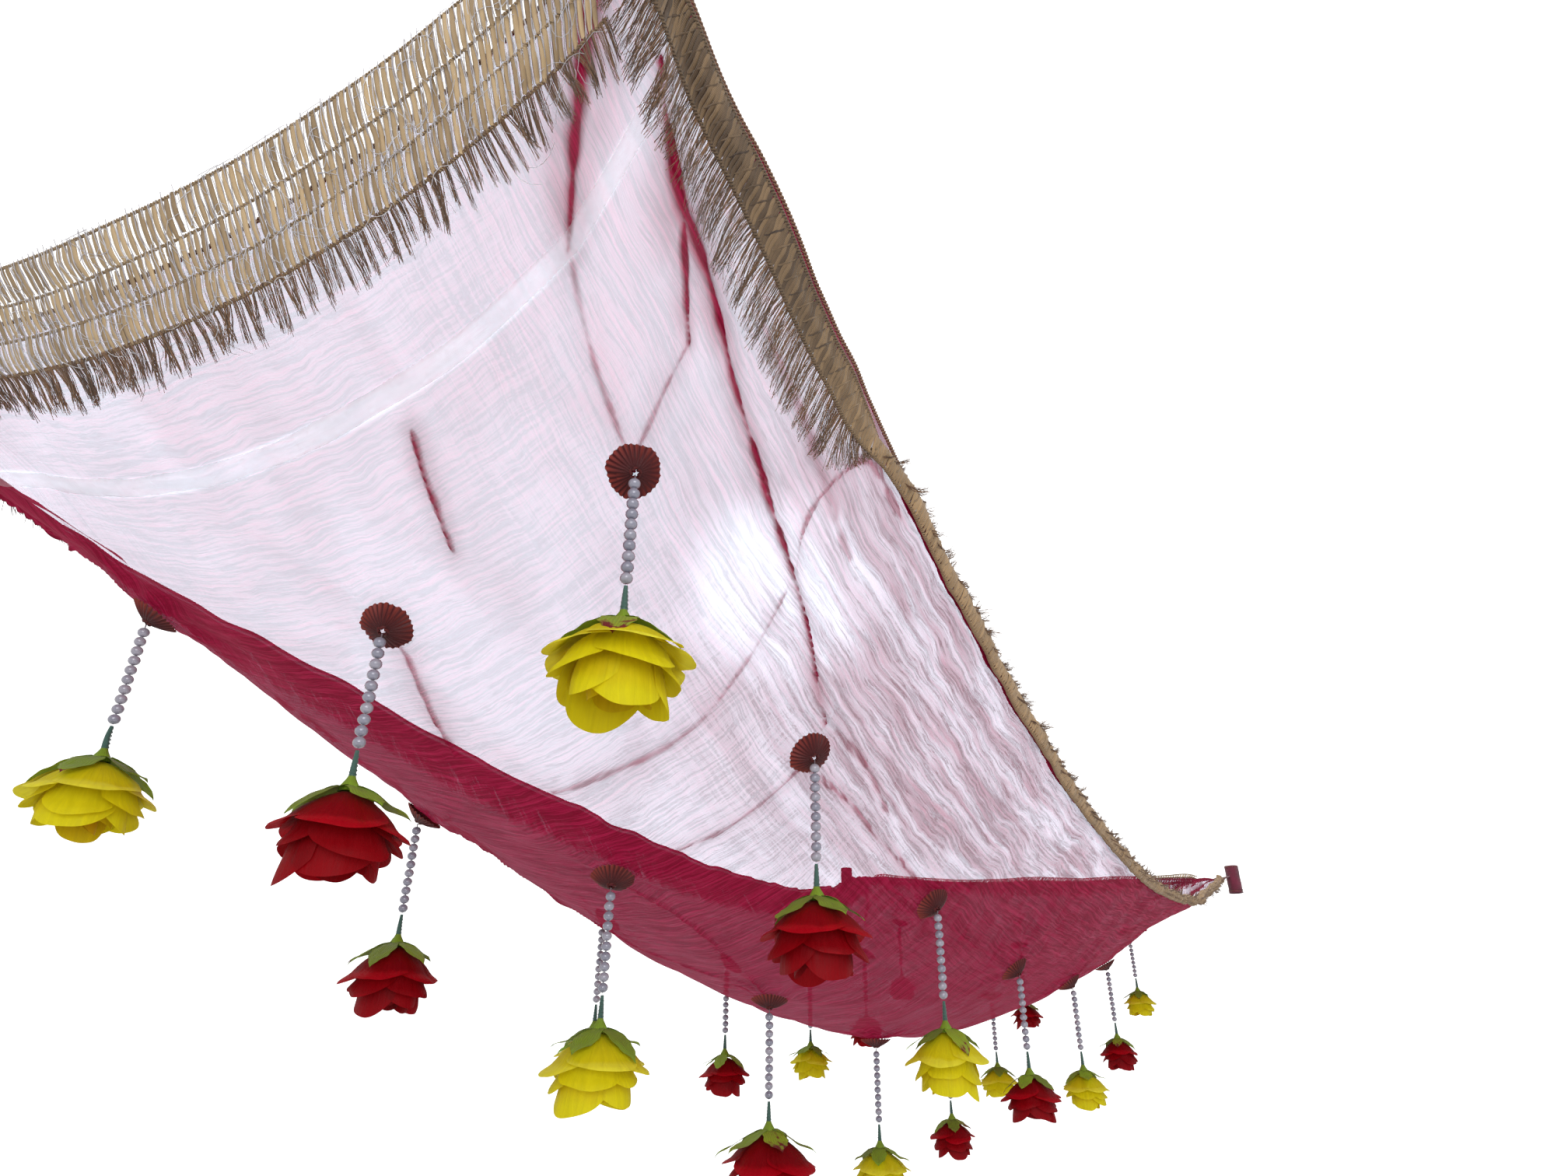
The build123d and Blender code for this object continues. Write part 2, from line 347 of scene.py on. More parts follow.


# Deep creases, each as points (share of length, share of width), its width in mm at each point, and how much
# cloth is gathered in it from 0 to 1. The points of the first eleven or so come from a scratch script that
# projected places in the photo back onto the cloth. The others were set beside them.
CREASES = [
    ([(-0.004, 0.045), (0.007, 0.072), (0.025, 0.115), (0.048, 0.165)], [15, 12, 8, 4], 1.0),
    ([(0.048, 0.165), (0.075, 0.187), (0.1, 0.2)], [5, 4, 3], 0.25),
    ([(0.03, 0.042), (0.045, 0.058), (0.061, 0.07), (0.08, 0.075), (0.109, 0.092)], [2, 3, 8, 5, 3], 1.0),
    ([(0.109, 0.092), (0.15, 0.115), (0.176, 0.128), (0.205, 0.15), (0.229, 0.175)], [3, 2.6, 2, 2.4, 1.5],
     0.85),
    ([(0.061, 0.07), (0.075, 0.09), (0.091, 0.113)], [4, 3.4, 2], 0.9),
    ([(0.091, 0.113), (0.096, 0.15), (0.102, 0.19)], [3, 3, 3], 0.3),
    ([(0.105, 0.05), (0.135, 0.056), (0.165, 0.068), (0.19, 0.077)], [6, 9, 9, 6], 0.22),
    ([(0.176, 0.128), (0.164, 0.09), (0.164, 0.05), (0.172, 0.022), (0.199, 0.022)], [2, 2.5, 3, 3, 2.5], 0.4),
    ([(0.185, 0.455), (0.191, 0.315), (0.186, 0.223), (0.176, 0.128)], [5, 4, 4, 2], 0.28),
    ([(0.233, 0.385), (0.236, 0.3), (0.235, 0.212)], [4, 3, 3], 0.3),
    ([(0.236, 0.17), (0.265, 0.165), (0.294, 0.175)], [5, 4, 4], 0.3),
    ([(0.236, 0.215), (0.27, 0.2), (0.3, 0.2), (0.352, 0.195)], [3, 2.5, 2.5, 2], 0.4),
    ([(0.106, 0.477), (0.13, 0.5), (0.16, 0.53)], [6, 5, 3], 0.5),
    ([(0.061, 0.352), (0.078, 0.368), (0.095, 0.38)], [3, 3, 2], 0.8),
    ([(0.36, 0.203), (0.41, 0.21), (0.47, 0.205)], [4, 4, 3], 0.35),
    ([(0.238, 0.477), (0.29, 0.45), (0.355, 0.477)], [4, 4, 3], 0.35),
    ([(0.20, 0.65), (0.235, 0.78), (0.28, 0.66), (0.35, 0.49)], [4, 4, 5, 3], 0.3),
]
# The other three corners gather the cloth in the same way, turned about the cloth's middle lines.
CORNER_CREASES, CORNER_CREASE_DEPTH = 6, 0.8
for flip_length, flip_width in ((False, True), (True, False), (True, True)):
    for points, widths, depth in CREASES[:CORNER_CREASES]:
        turned = [(1 - p if flip_length else p, 1 - q if flip_width else q) for p, q in points]
        CREASES.append((turned, widths, depth * CORNER_CREASE_DEPTH))
# Steps between a route's points, how sharp the crease is, and its depth.
CREASE_STEPS, CREASE_SLIM, CREASE_DEPTH = 9, 0.62, 9 * MM

# Folds round the rosettes and corners. The cloth is flat within CALM of a drop or corner.
DIMPLE, DIMPLE_REACH = 7 * MM, 0.045
ROSETTE_FOLD, ROSETTE_FOLDS, ROSETTE_REACH = 3.2 * MM, 7, 0.07
CORNER_FOLD, CORNER_FOLDS, CORNER_REACH = 0.09, 13, 0.13
CALM = 0.028


def smooth_route(points):
    """A smooth line through the points, with extra steps between them."""
    points = np.array(points, float)
    padded = np.concatenate([[2 * points[0] - points[1]], points, [2 * points[-1] - points[-2]]])
    t = np.linspace(0, 1, CREASE_STEPS, endpoint=False)[:, None]
    parts = []
    for p, q, r, s in zip(padded, padded[1:], padded[2:], padded[3:]):
        parts.append(0.5 * (2 * q + (r - p) * t + (2 * p - 5 * q + 4 * r - s) * t ** 2
                            + (3 * q - p - 3 * r + s) * t ** 3))
    return np.concatenate([*parts, points[-1:]])


def crease_share(a, b):
    """How deep in a crease each point is, from 0 to 1."""
    x, y = a * CLOTH_LENGTH, b * CLOTH_WIDTH
    wander = 1.8 * MM * noise(x / 0.014, y / 0.014, 5) + 1.2 * MM * noise(x / 0.05, y / 0.05, 6)
    fade = 0.82 + 0.28 * noise(x / 0.018, y / 0.018, 12)
    deepest = np.zeros(np.shape(a))
    for points, widths, depth in CREASES:
        route = smooth_route([(p * CLOTH_LENGTH, q * CLOTH_WIDTH, w) for (p, q), w in zip(points, widths)])
        slim = CREASE_SLIM * (0.75 if depth < 0.5 else 1.0)
        reach = 5 * max(widths) * MM
        low, high = route[:, :2].min(0) - reach, route[:, :2].max(0) + reach
        near = (x > low[0]) & (x < high[0]) & (y > low[1]) & (y < high[1])
        if not near.any():
            continue
        px, py = x[near], y[near]
        nearest, width = np.full(px.shape, 1.0), np.ones(px.shape)
        for start, end in zip(route, route[1:]):
            way = end[:2] - start[:2]
            t = (((px - start[0]) * way[0] + (py - start[1]) * way[1]) / (way @ way)).clip(0, 1)
            gap = np.hypot(px - start[0] - t * way[0], py - start[1] - t * way[1])
            closer = gap < nearest
            nearest[closer] = gap[closer]
            width[closer] = (start[2] + (end[2] - start[2]) * t)[closer]
        share = (nearest + wander[near]) / (MM * slim * width)
        halo = nearest / (3.5 * MM * width)
        found = depth * fade[near] * (0.82 * np.exp(-share ** 2) + 0.18 * np.exp(-halo ** 2))
        deepest[near] = np.maximum(deepest[near], found)
    return deepest.clip(0, 1)


def cloth_height(a, b):
    """How far the folded cloth hangs below its smooth surface. It is flat at the drops and corners."""
    a, b = np.broadcast_arrays(np.asarray(a, float), np.asarray(b, float))
    x, y = a * CLOTH_LENGTH, b * CLOTH_WIDTH
    height, calm = np.full(a.shape, -DIMPLE), np.ones(a.shape)
    for index, (p, q) in enumerate(DROPS.values()):
        dx, dy = x - p * CLOTH_LENGTH, y - q * CLOTH_WIDTH
        gap, angle = np.hypot(dx, dy), np.arctan2(dy, dx)
        height += DIMPLE * np.exp(-gap / DIMPLE_REACH)
        rays = np.cos(ROSETTE_FOLDS * angle + 1.7 * index + 1.2 * noise(gap / 0.05, angle, index))
        height += ROSETTE_FOLD * rays * np.exp(-gap / ROSETTE_REACH)
        calm *= 1 - np.exp(-((gap / CALM) ** 4))
    for p, q in CORNERS.values():
        dx, dy = np.abs(x - p * CLOTH_LENGTH), np.abs(y - q * CLOTH_WIDTH)
        gap, angle = np.hypot(dx, dy), np.arctan2(dy, dx)
        fan = np.cos(CORNER_FOLDS * angle + 2.0 * noise(gap / 0.15, 3 * angle, 11))
        height += CORNER_FOLD * gap * np.exp(-gap / CORNER_REACH) * fan
        calm *= 1 - np.exp(-((gap / CALM) ** 4))
    height += 5 * MM * noise(x / 0.16, y / 0.11, 1) + 2 * MM * noise(x / 0.05, y / 0.07, 2)
    side = smooth_step(0.16, 0.02, np.minimum(b, 1 - b))
    height += 2.2 * MM * side * noise(x / 0.035, y / 0.3, 3)
    across = 0.8 * MM * noise(x / 0.009 + 2 * noise(x / 0.1, y / 0.1, 8), y / 0.11, 4)
    along = 0.8 * MM * noise(x / 0.12, y / 0.008 + 2 * noise(x / 0.1, y / 0.1, 9), 6)
    height += across * (1 - side) + along * side
    return (height + CREASE_DEPTH * crease_share(a, b)) * calm


def smooth_step(low, high, value):
    t = ((value - low) / (high - low)).clip(0, 1)
    return t * t * (3 - 2 * t)


def cloth_at(a, b, below=0.0):
    """Points on the folded cloth, moved below its underside."""
    return cloth_base(a, b) + cloth_normal(a, b) * (cloth_height(a, b) + below)[..., None]


# ---------------------------------------------------------------- materials

# The share of light that comes straight through the gaps in one layer of the flat cloth, in its own colour.
CLOTH_GAPS, GAPS_BASE, CLOTH_TINT = 0.064, 0.7, (0.68, 0.86, 0.96)


class Shade:
    """A material, with short ways to add its nodes."""

    def __init__(self, name):
        self.material = bpy.data.materials.new(name)
        self.material.use_nodes = True
        self.tree = self.material.node_tree
        self.surface = self.tree.nodes["Principled BSDF"]
        self.output = self.tree.nodes["Material Output"]

    def put(self, socket, value):
        put(self.tree, socket, value)

    def add(self, kind, inputs=None, **settings):
        return add_node(self.tree, kind, inputs, **settings)

    def attribute(self, name, output="Vector"):
        return self.add("Attribute", attribute_name=name).outputs[output]

    def share(self, name):
        """A number that the mesh holds for each point."""
        return self.attribute(name, "Fac")

    def scaled(self, vector, scale, turn=0.0):
        return self.add("Mapping", {"Vector": vector, "Scale": scale, "Rotation": (0, 0, turn)}).outputs[0]

    def noise(self, vector, scale, detail=3.0, distortion=0.0, rough=0.5):
        inputs = {"Vector": self.scaled(vector, scale), "Scale": 1.0, "Detail": detail,
                  "Distortion": distortion, "Roughness": rough}
        return self.add("TexNoise", inputs).outputs["Fac"]

    def wander(self, vector, scale, amount):
        """The same place, moved about a little, so that straight lines come out wavy."""
        inputs = {"Vector": self.scaled(vector, scale), "Scale": 1.0, "Detail": 3.0}
        cloud = self.add("TexNoise", inputs).outputs["Color"]
        shift = self.add("VectorMath", {0: cloud, 1: (0.5, 0.5, 0.5)}, operation="SUBTRACT").outputs[0]
        shift = self.add("VectorMath", {0: shift, 1: (amount, amount, amount)}, operation="MULTIPLY").outputs[0]
        return self.add("VectorMath", {0: vector, 1: shift}, operation="ADD").outputs[0]

    def wave(self, vector, scale, turn=0.0, distortion=0.0):
        inputs = {"Vector": self.scaled(self.scaled(vector, (1, 1, 1), turn), scale), "Scale": 1.0,
                  "Distortion": distortion, "Detail": 1.0}
        return self.add("TexWave", inputs).outputs["Fac"]

    def ramp(self, factor, *stops):
        node = self.add("ValToRGB", {"Fac": factor})
        points = node.color_ramp.elements
        while len(points) < len(stops):
            points.new(0.5)
        for point, (place, colour) in zip(points, stops):
            colour = (colour,) * 3 if isinstance(colour, (int, float)) else colour
            point.position, point.color = place, (*colour, 1)
        return node.outputs["Color"]

    def math(self, operation, first, second):
        return self.add("Math", {0: first, 1: second}, operation=operation).outputs[0]

    def tint(self, first, second, factor, blend="MULTIPLY"):
        node = self.add("Mix", data_type="RGBA", blend_type=blend)
        self.put(node.inputs["Factor"], factor)
        self.put(node.inputs[6], first)
        self.put(node.inputs[7], second)
        return node.outputs[2]

    def bump(self, height, strength, distance, under=None):
        inputs = {"Height": height, "Strength": strength, "Distance": distance}
        if under is not None:
            inputs["Normal"] = under
        return self.add("Bump", inputs).outputs["Normal"]

    def set(self, **inputs):
        for key, value in inputs.items():
            self.put(self.surface.inputs[key.replace("_", " ")], value)

    def through(self, colour, share, normal=None):
        """Lets a share of the light scatter through to the other side."""
        inputs = {"Color": colour}
        if normal is not None:
            inputs["Normal"] = normal
        glow = self.add("BsdfTranslucent", inputs).outputs[0]
        both = self.add("MixShader", {0: share, 1: self.surface.outputs[0], 2: glow}).outputs[0]
        self.tree.links.new(both, self.output.inputs["Surface"])
        return both

    def sheer(self, body, opacity, gap_colour):
        """Leaves gaps between the threads."""
        gaps = self.add("BsdfTransparent", {"Color": gap_colour}).outputs[0]
        both = self.add("MixShader", {0: opacity, 1: gaps, 2: body}).outputs[0]
        self.tree.links.new(both, self.output.inputs["Surface"])


def make_cloth_material():
    s = Shade("sheer_cloth")
    flat, crease = s.attribute("flat"), s.share("crease")
    wavy = s.wander(flat, (9, 13, 1), 0.022)
    lengthways = s.noise(wavy, (13, 400, 1), 5, 0.6, 0.6)
    crossways = s.noise(wavy, (380, 15, 1), 5, 0.8, 0.6)
    streaks = s.tint(crossways, lengthways, s.share("side"), "MIX")
    gathered = s.noise(flat, (5, 8, 1), 3, 1.2)
    pleats = s.noise(wavy, (4, 60, 1), 4, 0.9, 0.6)
    weave = s.wave(flat, (2600, 2600, 1), math.radians(45), 0.4)
    counter = s.wave(flat, (2600, 2600, 1), math.radians(-45), 0.4)
    threads = s.math("MULTIPLY", weave, counter)
    streak_gaps = s.ramp(streaks, (0.30, 1.0), (0.52, 0.97), (0.56, 0.42), (0.595, 0.93), (0.67, 0.66),
                         (0.75, 1.0))
    gaps = s.tint((0.93, 0.93, 0.93), streak_gaps, s.share("crinkle"), "MIX")
    folded = s.ramp(pleats, (0.38, 0.98), (0.60, 0.50))
    for closer in (
        s.ramp(threads, (0.0, 0.82), (0.6, 1.0)),
        s.ramp(gathered, (0.35, 0.86), (0.65, 1.0)),
        s.tint((1, 1, 1), folded, s.share("dense"), "MIX"),
        s.ramp(s.share("band"), (0.0, 0.7), (1.0, 1.0)),
        s.ramp(crease, (0.0, 1.0), (0.2, 0.42), (0.5, 0.05), (0.8, 0.0)),
    ):
        gaps = s.math("MULTIPLY", gaps, closer)
    opacity = s.math("SUBTRACT", 1.0, s.math("MULTIPLY", gaps, CLOTH_GAPS / GAPS_BASE))
    colour = s.ramp(streaks, (0.33, (0.29, 0.008, 0.05)), (0.5, (0.22, 0.003, 0.03)),
                    (0.56, (0.15, 0.001, 0.016)), (0.7, (0.26, 0.006, 0.045)))
    rough = s.ramp(streaks, (0.3, 0.45), (0.7, 0.7))
    normal = s.bump(streaks, 0.6, 0.002, s.bump(threads, 0.25, 0.0004))
    s.set(Base_Color=colour, Roughness=rough, Normal=normal, Sheen_Weight=0.12, Sheen_Roughness=0.4,
          Sheen_Tint=(1.0, 0.4, 0.6), Specular_IOR_Level=0.15)
    glow = s.ramp(streaks, (0.35, (0.40, 0.008, 0.055)), (0.58, (0.20, 0.001, 0.02)))
    body = s.through(glow, 0.55, normal)
    s.sheer(body, opacity, CLOTH_TINT)
    return s.material


def make_ribbon_material():
    s = Shade("white_ribbon")
    flat = s.attribute("flat")
    threads = s.wave(flat, (2400, 1, 1), 0, 0.3)
    cross = s.wave(flat, (1, 2400, 1), math.radians(90), 0.3)
    weave = s.math("MULTIPLY", threads, cross)
    cloud = s.noise(flat, (60, 25, 1), 3)
    normal = s.bump(cloud, 0.4, 0.001, s.bump(weave, 0.3, 0.0003))
    s.set(Base_Color=s.ramp(cloud, (0.35, (0.75, 0.73, 0.79)), (0.65, (0.93, 0.92, 0.96))),
          Roughness=s.ramp(cloud, (0.3, 0.35), (0.7, 0.6)), Normal=normal, Sheen_Weight=0.3)
    body = s.through((0.95, 0.93, 0.97), 0.6, normal)
    s.sheer(body, s.ramp(weave, (0.0, 0.42), (0.6, 0.25)), (1, 1, 1))
    return s.material


def make_petal_material(name, edge, face, shaded_heart, glow):
    """Silk petals, veined: darker towards the heart as painted shade, and lighter at the rim as a painted
    highlight.
    """
    s = Shade(name)
    flat, tone = s.attribute("flat"), s.share("tone")
    veins = s.noise(flat, (22, 1.6, 5), 3, 0.5)
    weave = s.wave(flat, (240, 240, 1), math.radians(45), 0.5)
    mottle = s.noise(flat, (2.3, 2.6, 9), 3, 0.4)
    depth = s.math("ADD", tone, s.math("MULTIPLY", mottle, 0.16))
    # Low tones take the heart colour as painted shade, and the highest the lighter rim colour as a painted
    # highlight.
    colour = s.ramp(depth, (0.25, shaded_heart), (0.72, face), (0.95, face), (1.0, edge))
    colour = s.tint(colour, s.ramp(veins, (0.36, 0.72), (0.62, 1.0)), 0.4)
    normal = s.bump(veins, 0.28, 0.002, s.bump(weave, 0.2, 0.0003))
    s.set(Base_Color=colour, Roughness=s.ramp(veins, (0.3, 0.42), (0.7, 0.66)), Normal=normal,
          Sheen_Weight=0.03, Sheen_Roughness=0.35, Specular_IOR_Level=0.16)
    s.through(s.tint(colour, glow, 0.6, "MIX"), 0.35, normal)
    return s.material


def make_leaf_material():
    s = Shade("sepal_green")
    flat, tone = s.attribute("flat"), s.share("tone")
    veins = s.wave(flat, (3.2, 38, 1), 0, 1.5)
    mottle = s.noise(flat, (3, 4, 7), 3, 0.5)
    colour = s.ramp(s.math("ADD", tone, s.math("MULTIPLY", mottle, 0.3)),
                    (0.10, (0.12, 0.19, 0.02)), (0.45, (0.22, 0.32, 0.02)), (0.8, (0.30, 0.50, 0.02)),
                    (0.97, (0.34, 0.44, 0.02)), (1.0, (0.20, 0.010, 0.01)))
    colour = s.tint(colour, s.ramp(veins, (0.2, 0.75), (0.7, 1.0)), 0.6)
    normal = s.bump(veins, 0.3, 0.001)
    s.set(Base_Color=colour, Roughness=s.ramp(mottle, (0.3, 0.45), (0.7, 0.68)), Normal=normal,
          Sheen_Weight=0.05)
    s.through(colour, 0.25, normal)
    return s.material


def make_thread_material(name, dark, light, metal, rough, grain=(9, 220, 9)):
    """Twisted or flat threads whose colour changes from one to the next."""
    s = Shade(name)
    flat, tone = s.attribute("flat"), s.share("tone")
    twist = s.wave(flat, (1, 1, 1), math.radians(38), 0.6)
    wear = s.noise(flat, grain, 3, 0.5)
    mixed = s.math("ADD", s.math("MULTIPLY", tone, 0.75), s.math("MULTIPLY", wear, 0.35))
    colour = s.ramp(mixed, (0.08, dark), (0.55, tuple((p + q) / 2 for p, q in zip(dark, light))), (1.0, light))
    colour = s.tint(colour, s.ramp(twist, (0.1, 0.55), (0.6, 1.0)), 0.7)
    s.set(Base_Color=colour, Roughness=s.ramp(wear, (0.3, rough - 0.1), (0.7, rough + 0.12)), Metallic=metal,
          Normal=s.bump(twist, 0.5, 0.0006), Sheen_Weight=0.25)
    return s.material


def make_satin_material():
    s = Shade("rosette_cloth")
    flat, tone = s.attribute("flat"), s.share("tone")
    pleats = s.noise(flat, (14, 1.2, 3), 3, 0.4)
    # Dark maroon satin, its colours set darker still as painted shade.
    colour = s.ramp(s.math("ADD", tone, s.math("MULTIPLY", pleats, 0.35)),
                    (0.15, (0.012, 0.001, 0.002)), (0.6, (0.070, 0.006, 0.007)), (1.1, (0.23, 0.030, 0.020)))
    normal = s.bump(pleats, 0.4, 0.001)
    s.set(Base_Color=colour, Roughness=s.ramp(pleats, (0.3, 0.4), (0.7, 0.6)), Normal=normal, Sheen_Weight=0.05,
          Specular_IOR_Level=0.25)
    s.through(colour, 0.12, normal)
    return s.material


def make_pearl_material():
    s = Shade("pearl")
    flat, tone = s.attribute("flat"), s.share("tone")
    cloud = s.noise(flat, (3, 3, 3), 3, 0.8)
    mixed = s.math("ADD", s.math("MULTIPLY", tone, 0.6), s.math("MULTIPLY", cloud, 0.5))
    colour = s.ramp(mixed, (0.1, (0.15, 0.15, 0.20)), (0.5, (0.23, 0.23, 0.29)), (0.9, (0.34, 0.32, 0.37)))
    s.set(Base_Color=colour, Roughness=s.ramp(cloud, (0.3, 0.16), (0.7, 0.28)), Coat_Weight=0.9,
          Coat_Roughness=0.12, Specular_Tint=(0.92, 0.88, 1.0), Normal=s.bump(cloud, 0.08, 0.001),
          Sheen_Weight=0.15)
    return s.material


def make_pocket_material():
    s = Shade("pocket_cloth")
    flat = s.attribute("flat")
    weft = s.wave(flat, (1500, 1, 1), 0, 0.3)
    warp = s.wave(flat, (1, 1500, 1), math.radians(90), 0.3)
    weave = s.math("MULTIPLY", weft, warp)
    fade = s.noise(flat, (30, 30, 30), 4, 0.5)
    colour = s.tint(s.ramp(fade, (0.3, (0.10, 0.006, 0.022)), (0.7, (0.22, 0.012, 0.05))),
                    s.ramp(weave, (0.0, 0.55), (0.5, 1.0)), 0.8)
    s.set(Base_Color=colour, Roughness=s.ramp(fade, (0.3, 0.7), (0.7, 0.9)),
          Normal=s.bump(weave, 0.5, 0.0006), Sheen_Weight=0.3)
    return s.material


def make_floor_material():
    s = Shade("floor")
    place = s.add("TexCoord").outputs["Object"]
    cloud = s.noise(place, (1.3, 1.3, 1.3), 4)
    grit = s.noise(place, (60, 60, 60), 2)
    s.set(Base_Color=s.ramp(cloud, (0.3, 0.745), (0.7, 0.765)), Roughness=s.ramp(grit, (0.3, 0.75), (0.7, 0.9)),
          Normal=s.bump(grit, 0.05, 0.002))
    return s.material


# ---------------------------------------------------------------- cloth and trim

def along_cloth(power, count):
    """Shares of the length or width, closer together towards the near end, where the cloth is seen closest."""
    return np.linspace(0, 1, count) ** power


def make_cloth(material):
    a = along_cloth(1.4, 860 // FINE)[:, None]
    b = along_cloth(1.2, 340 // FINE)[None, :]
    a, b = np.broadcast_arrays(a, b)
    fold = smooth_step(0.0135, 0.010, b) * smooth_step(0.2, 0.12, a)
    crease = np.maximum(crease_share(a, b), 0.5 * fold)
    route = np.interp(b, *zip(*RIBBON_ROUTE))
    band = smooth_step(1.25, 0.8, np.abs(a - route) / RIBBON_HALF) * smooth_step(0.055, 0.07, b)
    side = smooth_step(0.42, 0.10, np.minimum(b, 1 - b)) + 0 * a
    beyond = smooth_step(0.08, 0.26, a)
    crinkle = 0.22 + 0.78 * beyond * (0.55 + 0.45 * side)
    dense = beyond * smooth_step(0.40, 0.12, b) + smooth_step(0.40, 0.70, a)
    flat = np.stack([a * CLOTH_LENGTH, b * CLOTH_WIDTH, 0 * a], -1)
    shares = {"crease": crease, "band": band, "side": side, "crinkle": crinkle, "dense": dense.clip(0, 1)}
    cloth = mesh_object("cloth", cloth_at(a, b).reshape(-1, 3), grid_faces(*a.shape), True,
                        {key: value.ravel() for key, value in shares.items()} | {"flat": flat.reshape(-1, 3)})
    finish_piece(cloth, "canopy", ["canopy_cloth"], [material])
    return cloth


def side_place(side, a, across, below, tuck):
    """A point of the side trim: a share of the length, how far in from the edge as a share of the width, and
    how far below the cloth. Away from the near end the right side's trim is a rope: tuck is the angle on it."""
    flip = across if side == "right" else 1 - across
    a, flip, below, tuck = np.broadcast_arrays(a, flip, below, tuck)
    flat = cloth_at(a, flip, UNDERSIDE + below)
    if side == "left":
        return flat
    rolled = smooth_step(ROPE_START, ROPE_END, a + 0.012 * noise(a * 60, 0 * a, 51))[..., None]
    edge = ROPE_EDGE + 0 * a
    down = cloth_normal(a, edge)
    out = unit(cloth_base(a, edge) - cloth_base(a, edge + 0.01))
    lumps = 1 + 0.22 * noise(a * 110, tuck * 0.4, 52) + 0.12 * noise(a * 330, tuck, 53)
    reach = (ROPE_R * lumps + below - 2 * MM)[..., None]
    rope = cloth_at(a, edge) + reach * (np.cos(tuck)[..., None] * down + np.sin(tuck)[..., None] * out)
    return flat + (rope - flat) * rolled


def tuck_of(across):
    """The angle at which a strand lies on the rope, from how far in from the edge it is on the flat trim."""
    outer, inner = BRAID_SPAN
    return math.radians(-50) + math.radians(235) * (inner - across) / (inner - outer)


def strands(distance, pitch):
    """The turns of a cord of two strands along a distance."""
    return [TAU * distance / pitch + start for start in (0, math.pi)]


def make_side_trim(side, braid_material, fringe_material):
    """Ribbed braid along a long side, and the fringe that hangs from its inner edge."""
    rng = np.random.default_rng(31 if side == "right" else 32)
    outer, inner = BRAID_SPAN
    pile = Pile()
    for layer, (lean, pitch, lift) in enumerate([(0.012, 0.0040, 2.2), (-0.008, 0.0120, 2.9)]):
        places = np.arange(CORNER_GAP * CLOTH_LENGTH, (1 - CORNER_GAP) * CLOTH_LENGTH, pitch) / CLOTH_LENGTH
        places = places + rng.normal(0, 0.00012, len(places))
        t = np.linspace(0, 1, 11)[None, :]
        a = places[:, None] + lean / CLOTH_LENGTH * (t - 0.5) * (1 + 0.25 * np.sin(TAU * t))
        reach = (outer, inner) if layer == 0 else (outer + 0.004, inner - 0.004)
        b = reach[0] + (reach[1] - reach[0]) * t + rng.normal(0, 0.0003, (len(places), 1))
        bulge = MM * (lift + 1.3 * np.sin(math.pi * t) + 0.5 * np.cos(4 * math.pi * t)) + 0 * a
        lines = side_place(side, a, b, bulge, tuck_of(b))
        outwards = side_place(side, a, b, bulge + MM, tuck_of(b)) - lines
        rings = straps(lines, outwards, (2.0 if layer == 0 else 0.8) * MM, 0.95 * MM)
        # Random tone, a little darker for the cross straps, and darker on the near part of the length as
        # painted shade.
        tone = rng.uniform(0.0, 0.36, len(places)) - 0.1 * layer + 0.5 * smooth_step(0.1, 0.22, places)
        pile.add(rings, tone, (2, 14, 1), wrap=True, caps=True)
    a = np.linspace(CORNER_GAP, 1 - CORNER_GAP, 3400 // FINE)
    # The cords too are darker on the near part as painted shade.
    tone = 0.15 + 0.35 * smooth_step(0.1, 0.22, a)[None]
    for edge in BRAID_SPAN:
        for twist in strands(a * CLOTH_LENGTH, 0.0048):
            b = edge + 0.9 * MM / CLOTH_WIDTH * np.cos(twist)
            lines = side_place(side, a, b, 2.3 * MM + 0.9 * MM * np.sin(twist), tuck_of(b))[None]
            pile.add(tubes(lines, 0.85 * MM, 5), tone, (1, 900, 1), wrap=True)
    braid = pile.make(f"braid_{side}")
    finish_piece(braid, "canopy", [f"side_braid_{side}"], [braid_material])

    pile = Pile()
    clumps = np.arange(CORNER_GAP * CLOTH_LENGTH + 0.003, (1 - CORNER_GAP) * CLOTH_LENGTH, 0.0062)
    clumps = clumps / CLOTH_LENGTH
    threads = 13 // FINE
    root = np.repeat(clumps, threads) + rng.uniform(-0.0034, 0.0034, len(clumps) * threads) / CLOTH_LENGTH
    lean = np.repeat(rng.normal(0.010, 0.004, len(clumps)), threads) + rng.normal(0, 0.0022, len(root))
    lean /= CLOTH_LENGTH
    pinch = np.repeat(clumps, threads) - root
    length = np.repeat(rng.uniform(0.036, 0.042, len(clumps)), threads)
    length = length * rng.uniform(0.6, 1.02, len(root)) ** 0.7
    if side == "right":
        tufts = np.repeat(rng.uniform(0.05, 0.5, len(clumps)) ** 2.2, threads)
        tufts = tufts * rng.uniform(0.3, 1.2, len(root))
        length = length * (1 + (tufts - 1) * smooth_step(ROPE_START, ROPE_END, root))
    turned = np.repeat(rng.uniform(0.1, 2.2, len(clumps)), threads)[:, None]

    def place(along, out, sag):
        flat = side_place(side, along, inner + out / CLOTH_WIDTH, sag, turned + 0 * out)
        if side == "left":
            return flat
        rolled = smooth_step(ROPE_START, ROPE_END, along)
        return side_place(side, along, inner + out / CLOTH_WIDTH, sag + out * rolled, turned + 12 * out)

    hang_fringe(pile, rng, root, lean, pinch, length, place)
    fringe = pile.make(f"fringe_{side}")
    finish_piece(fringe, "canopy", [f"side_fringe_{side}"], [fringe_material])
    return braid, fringe


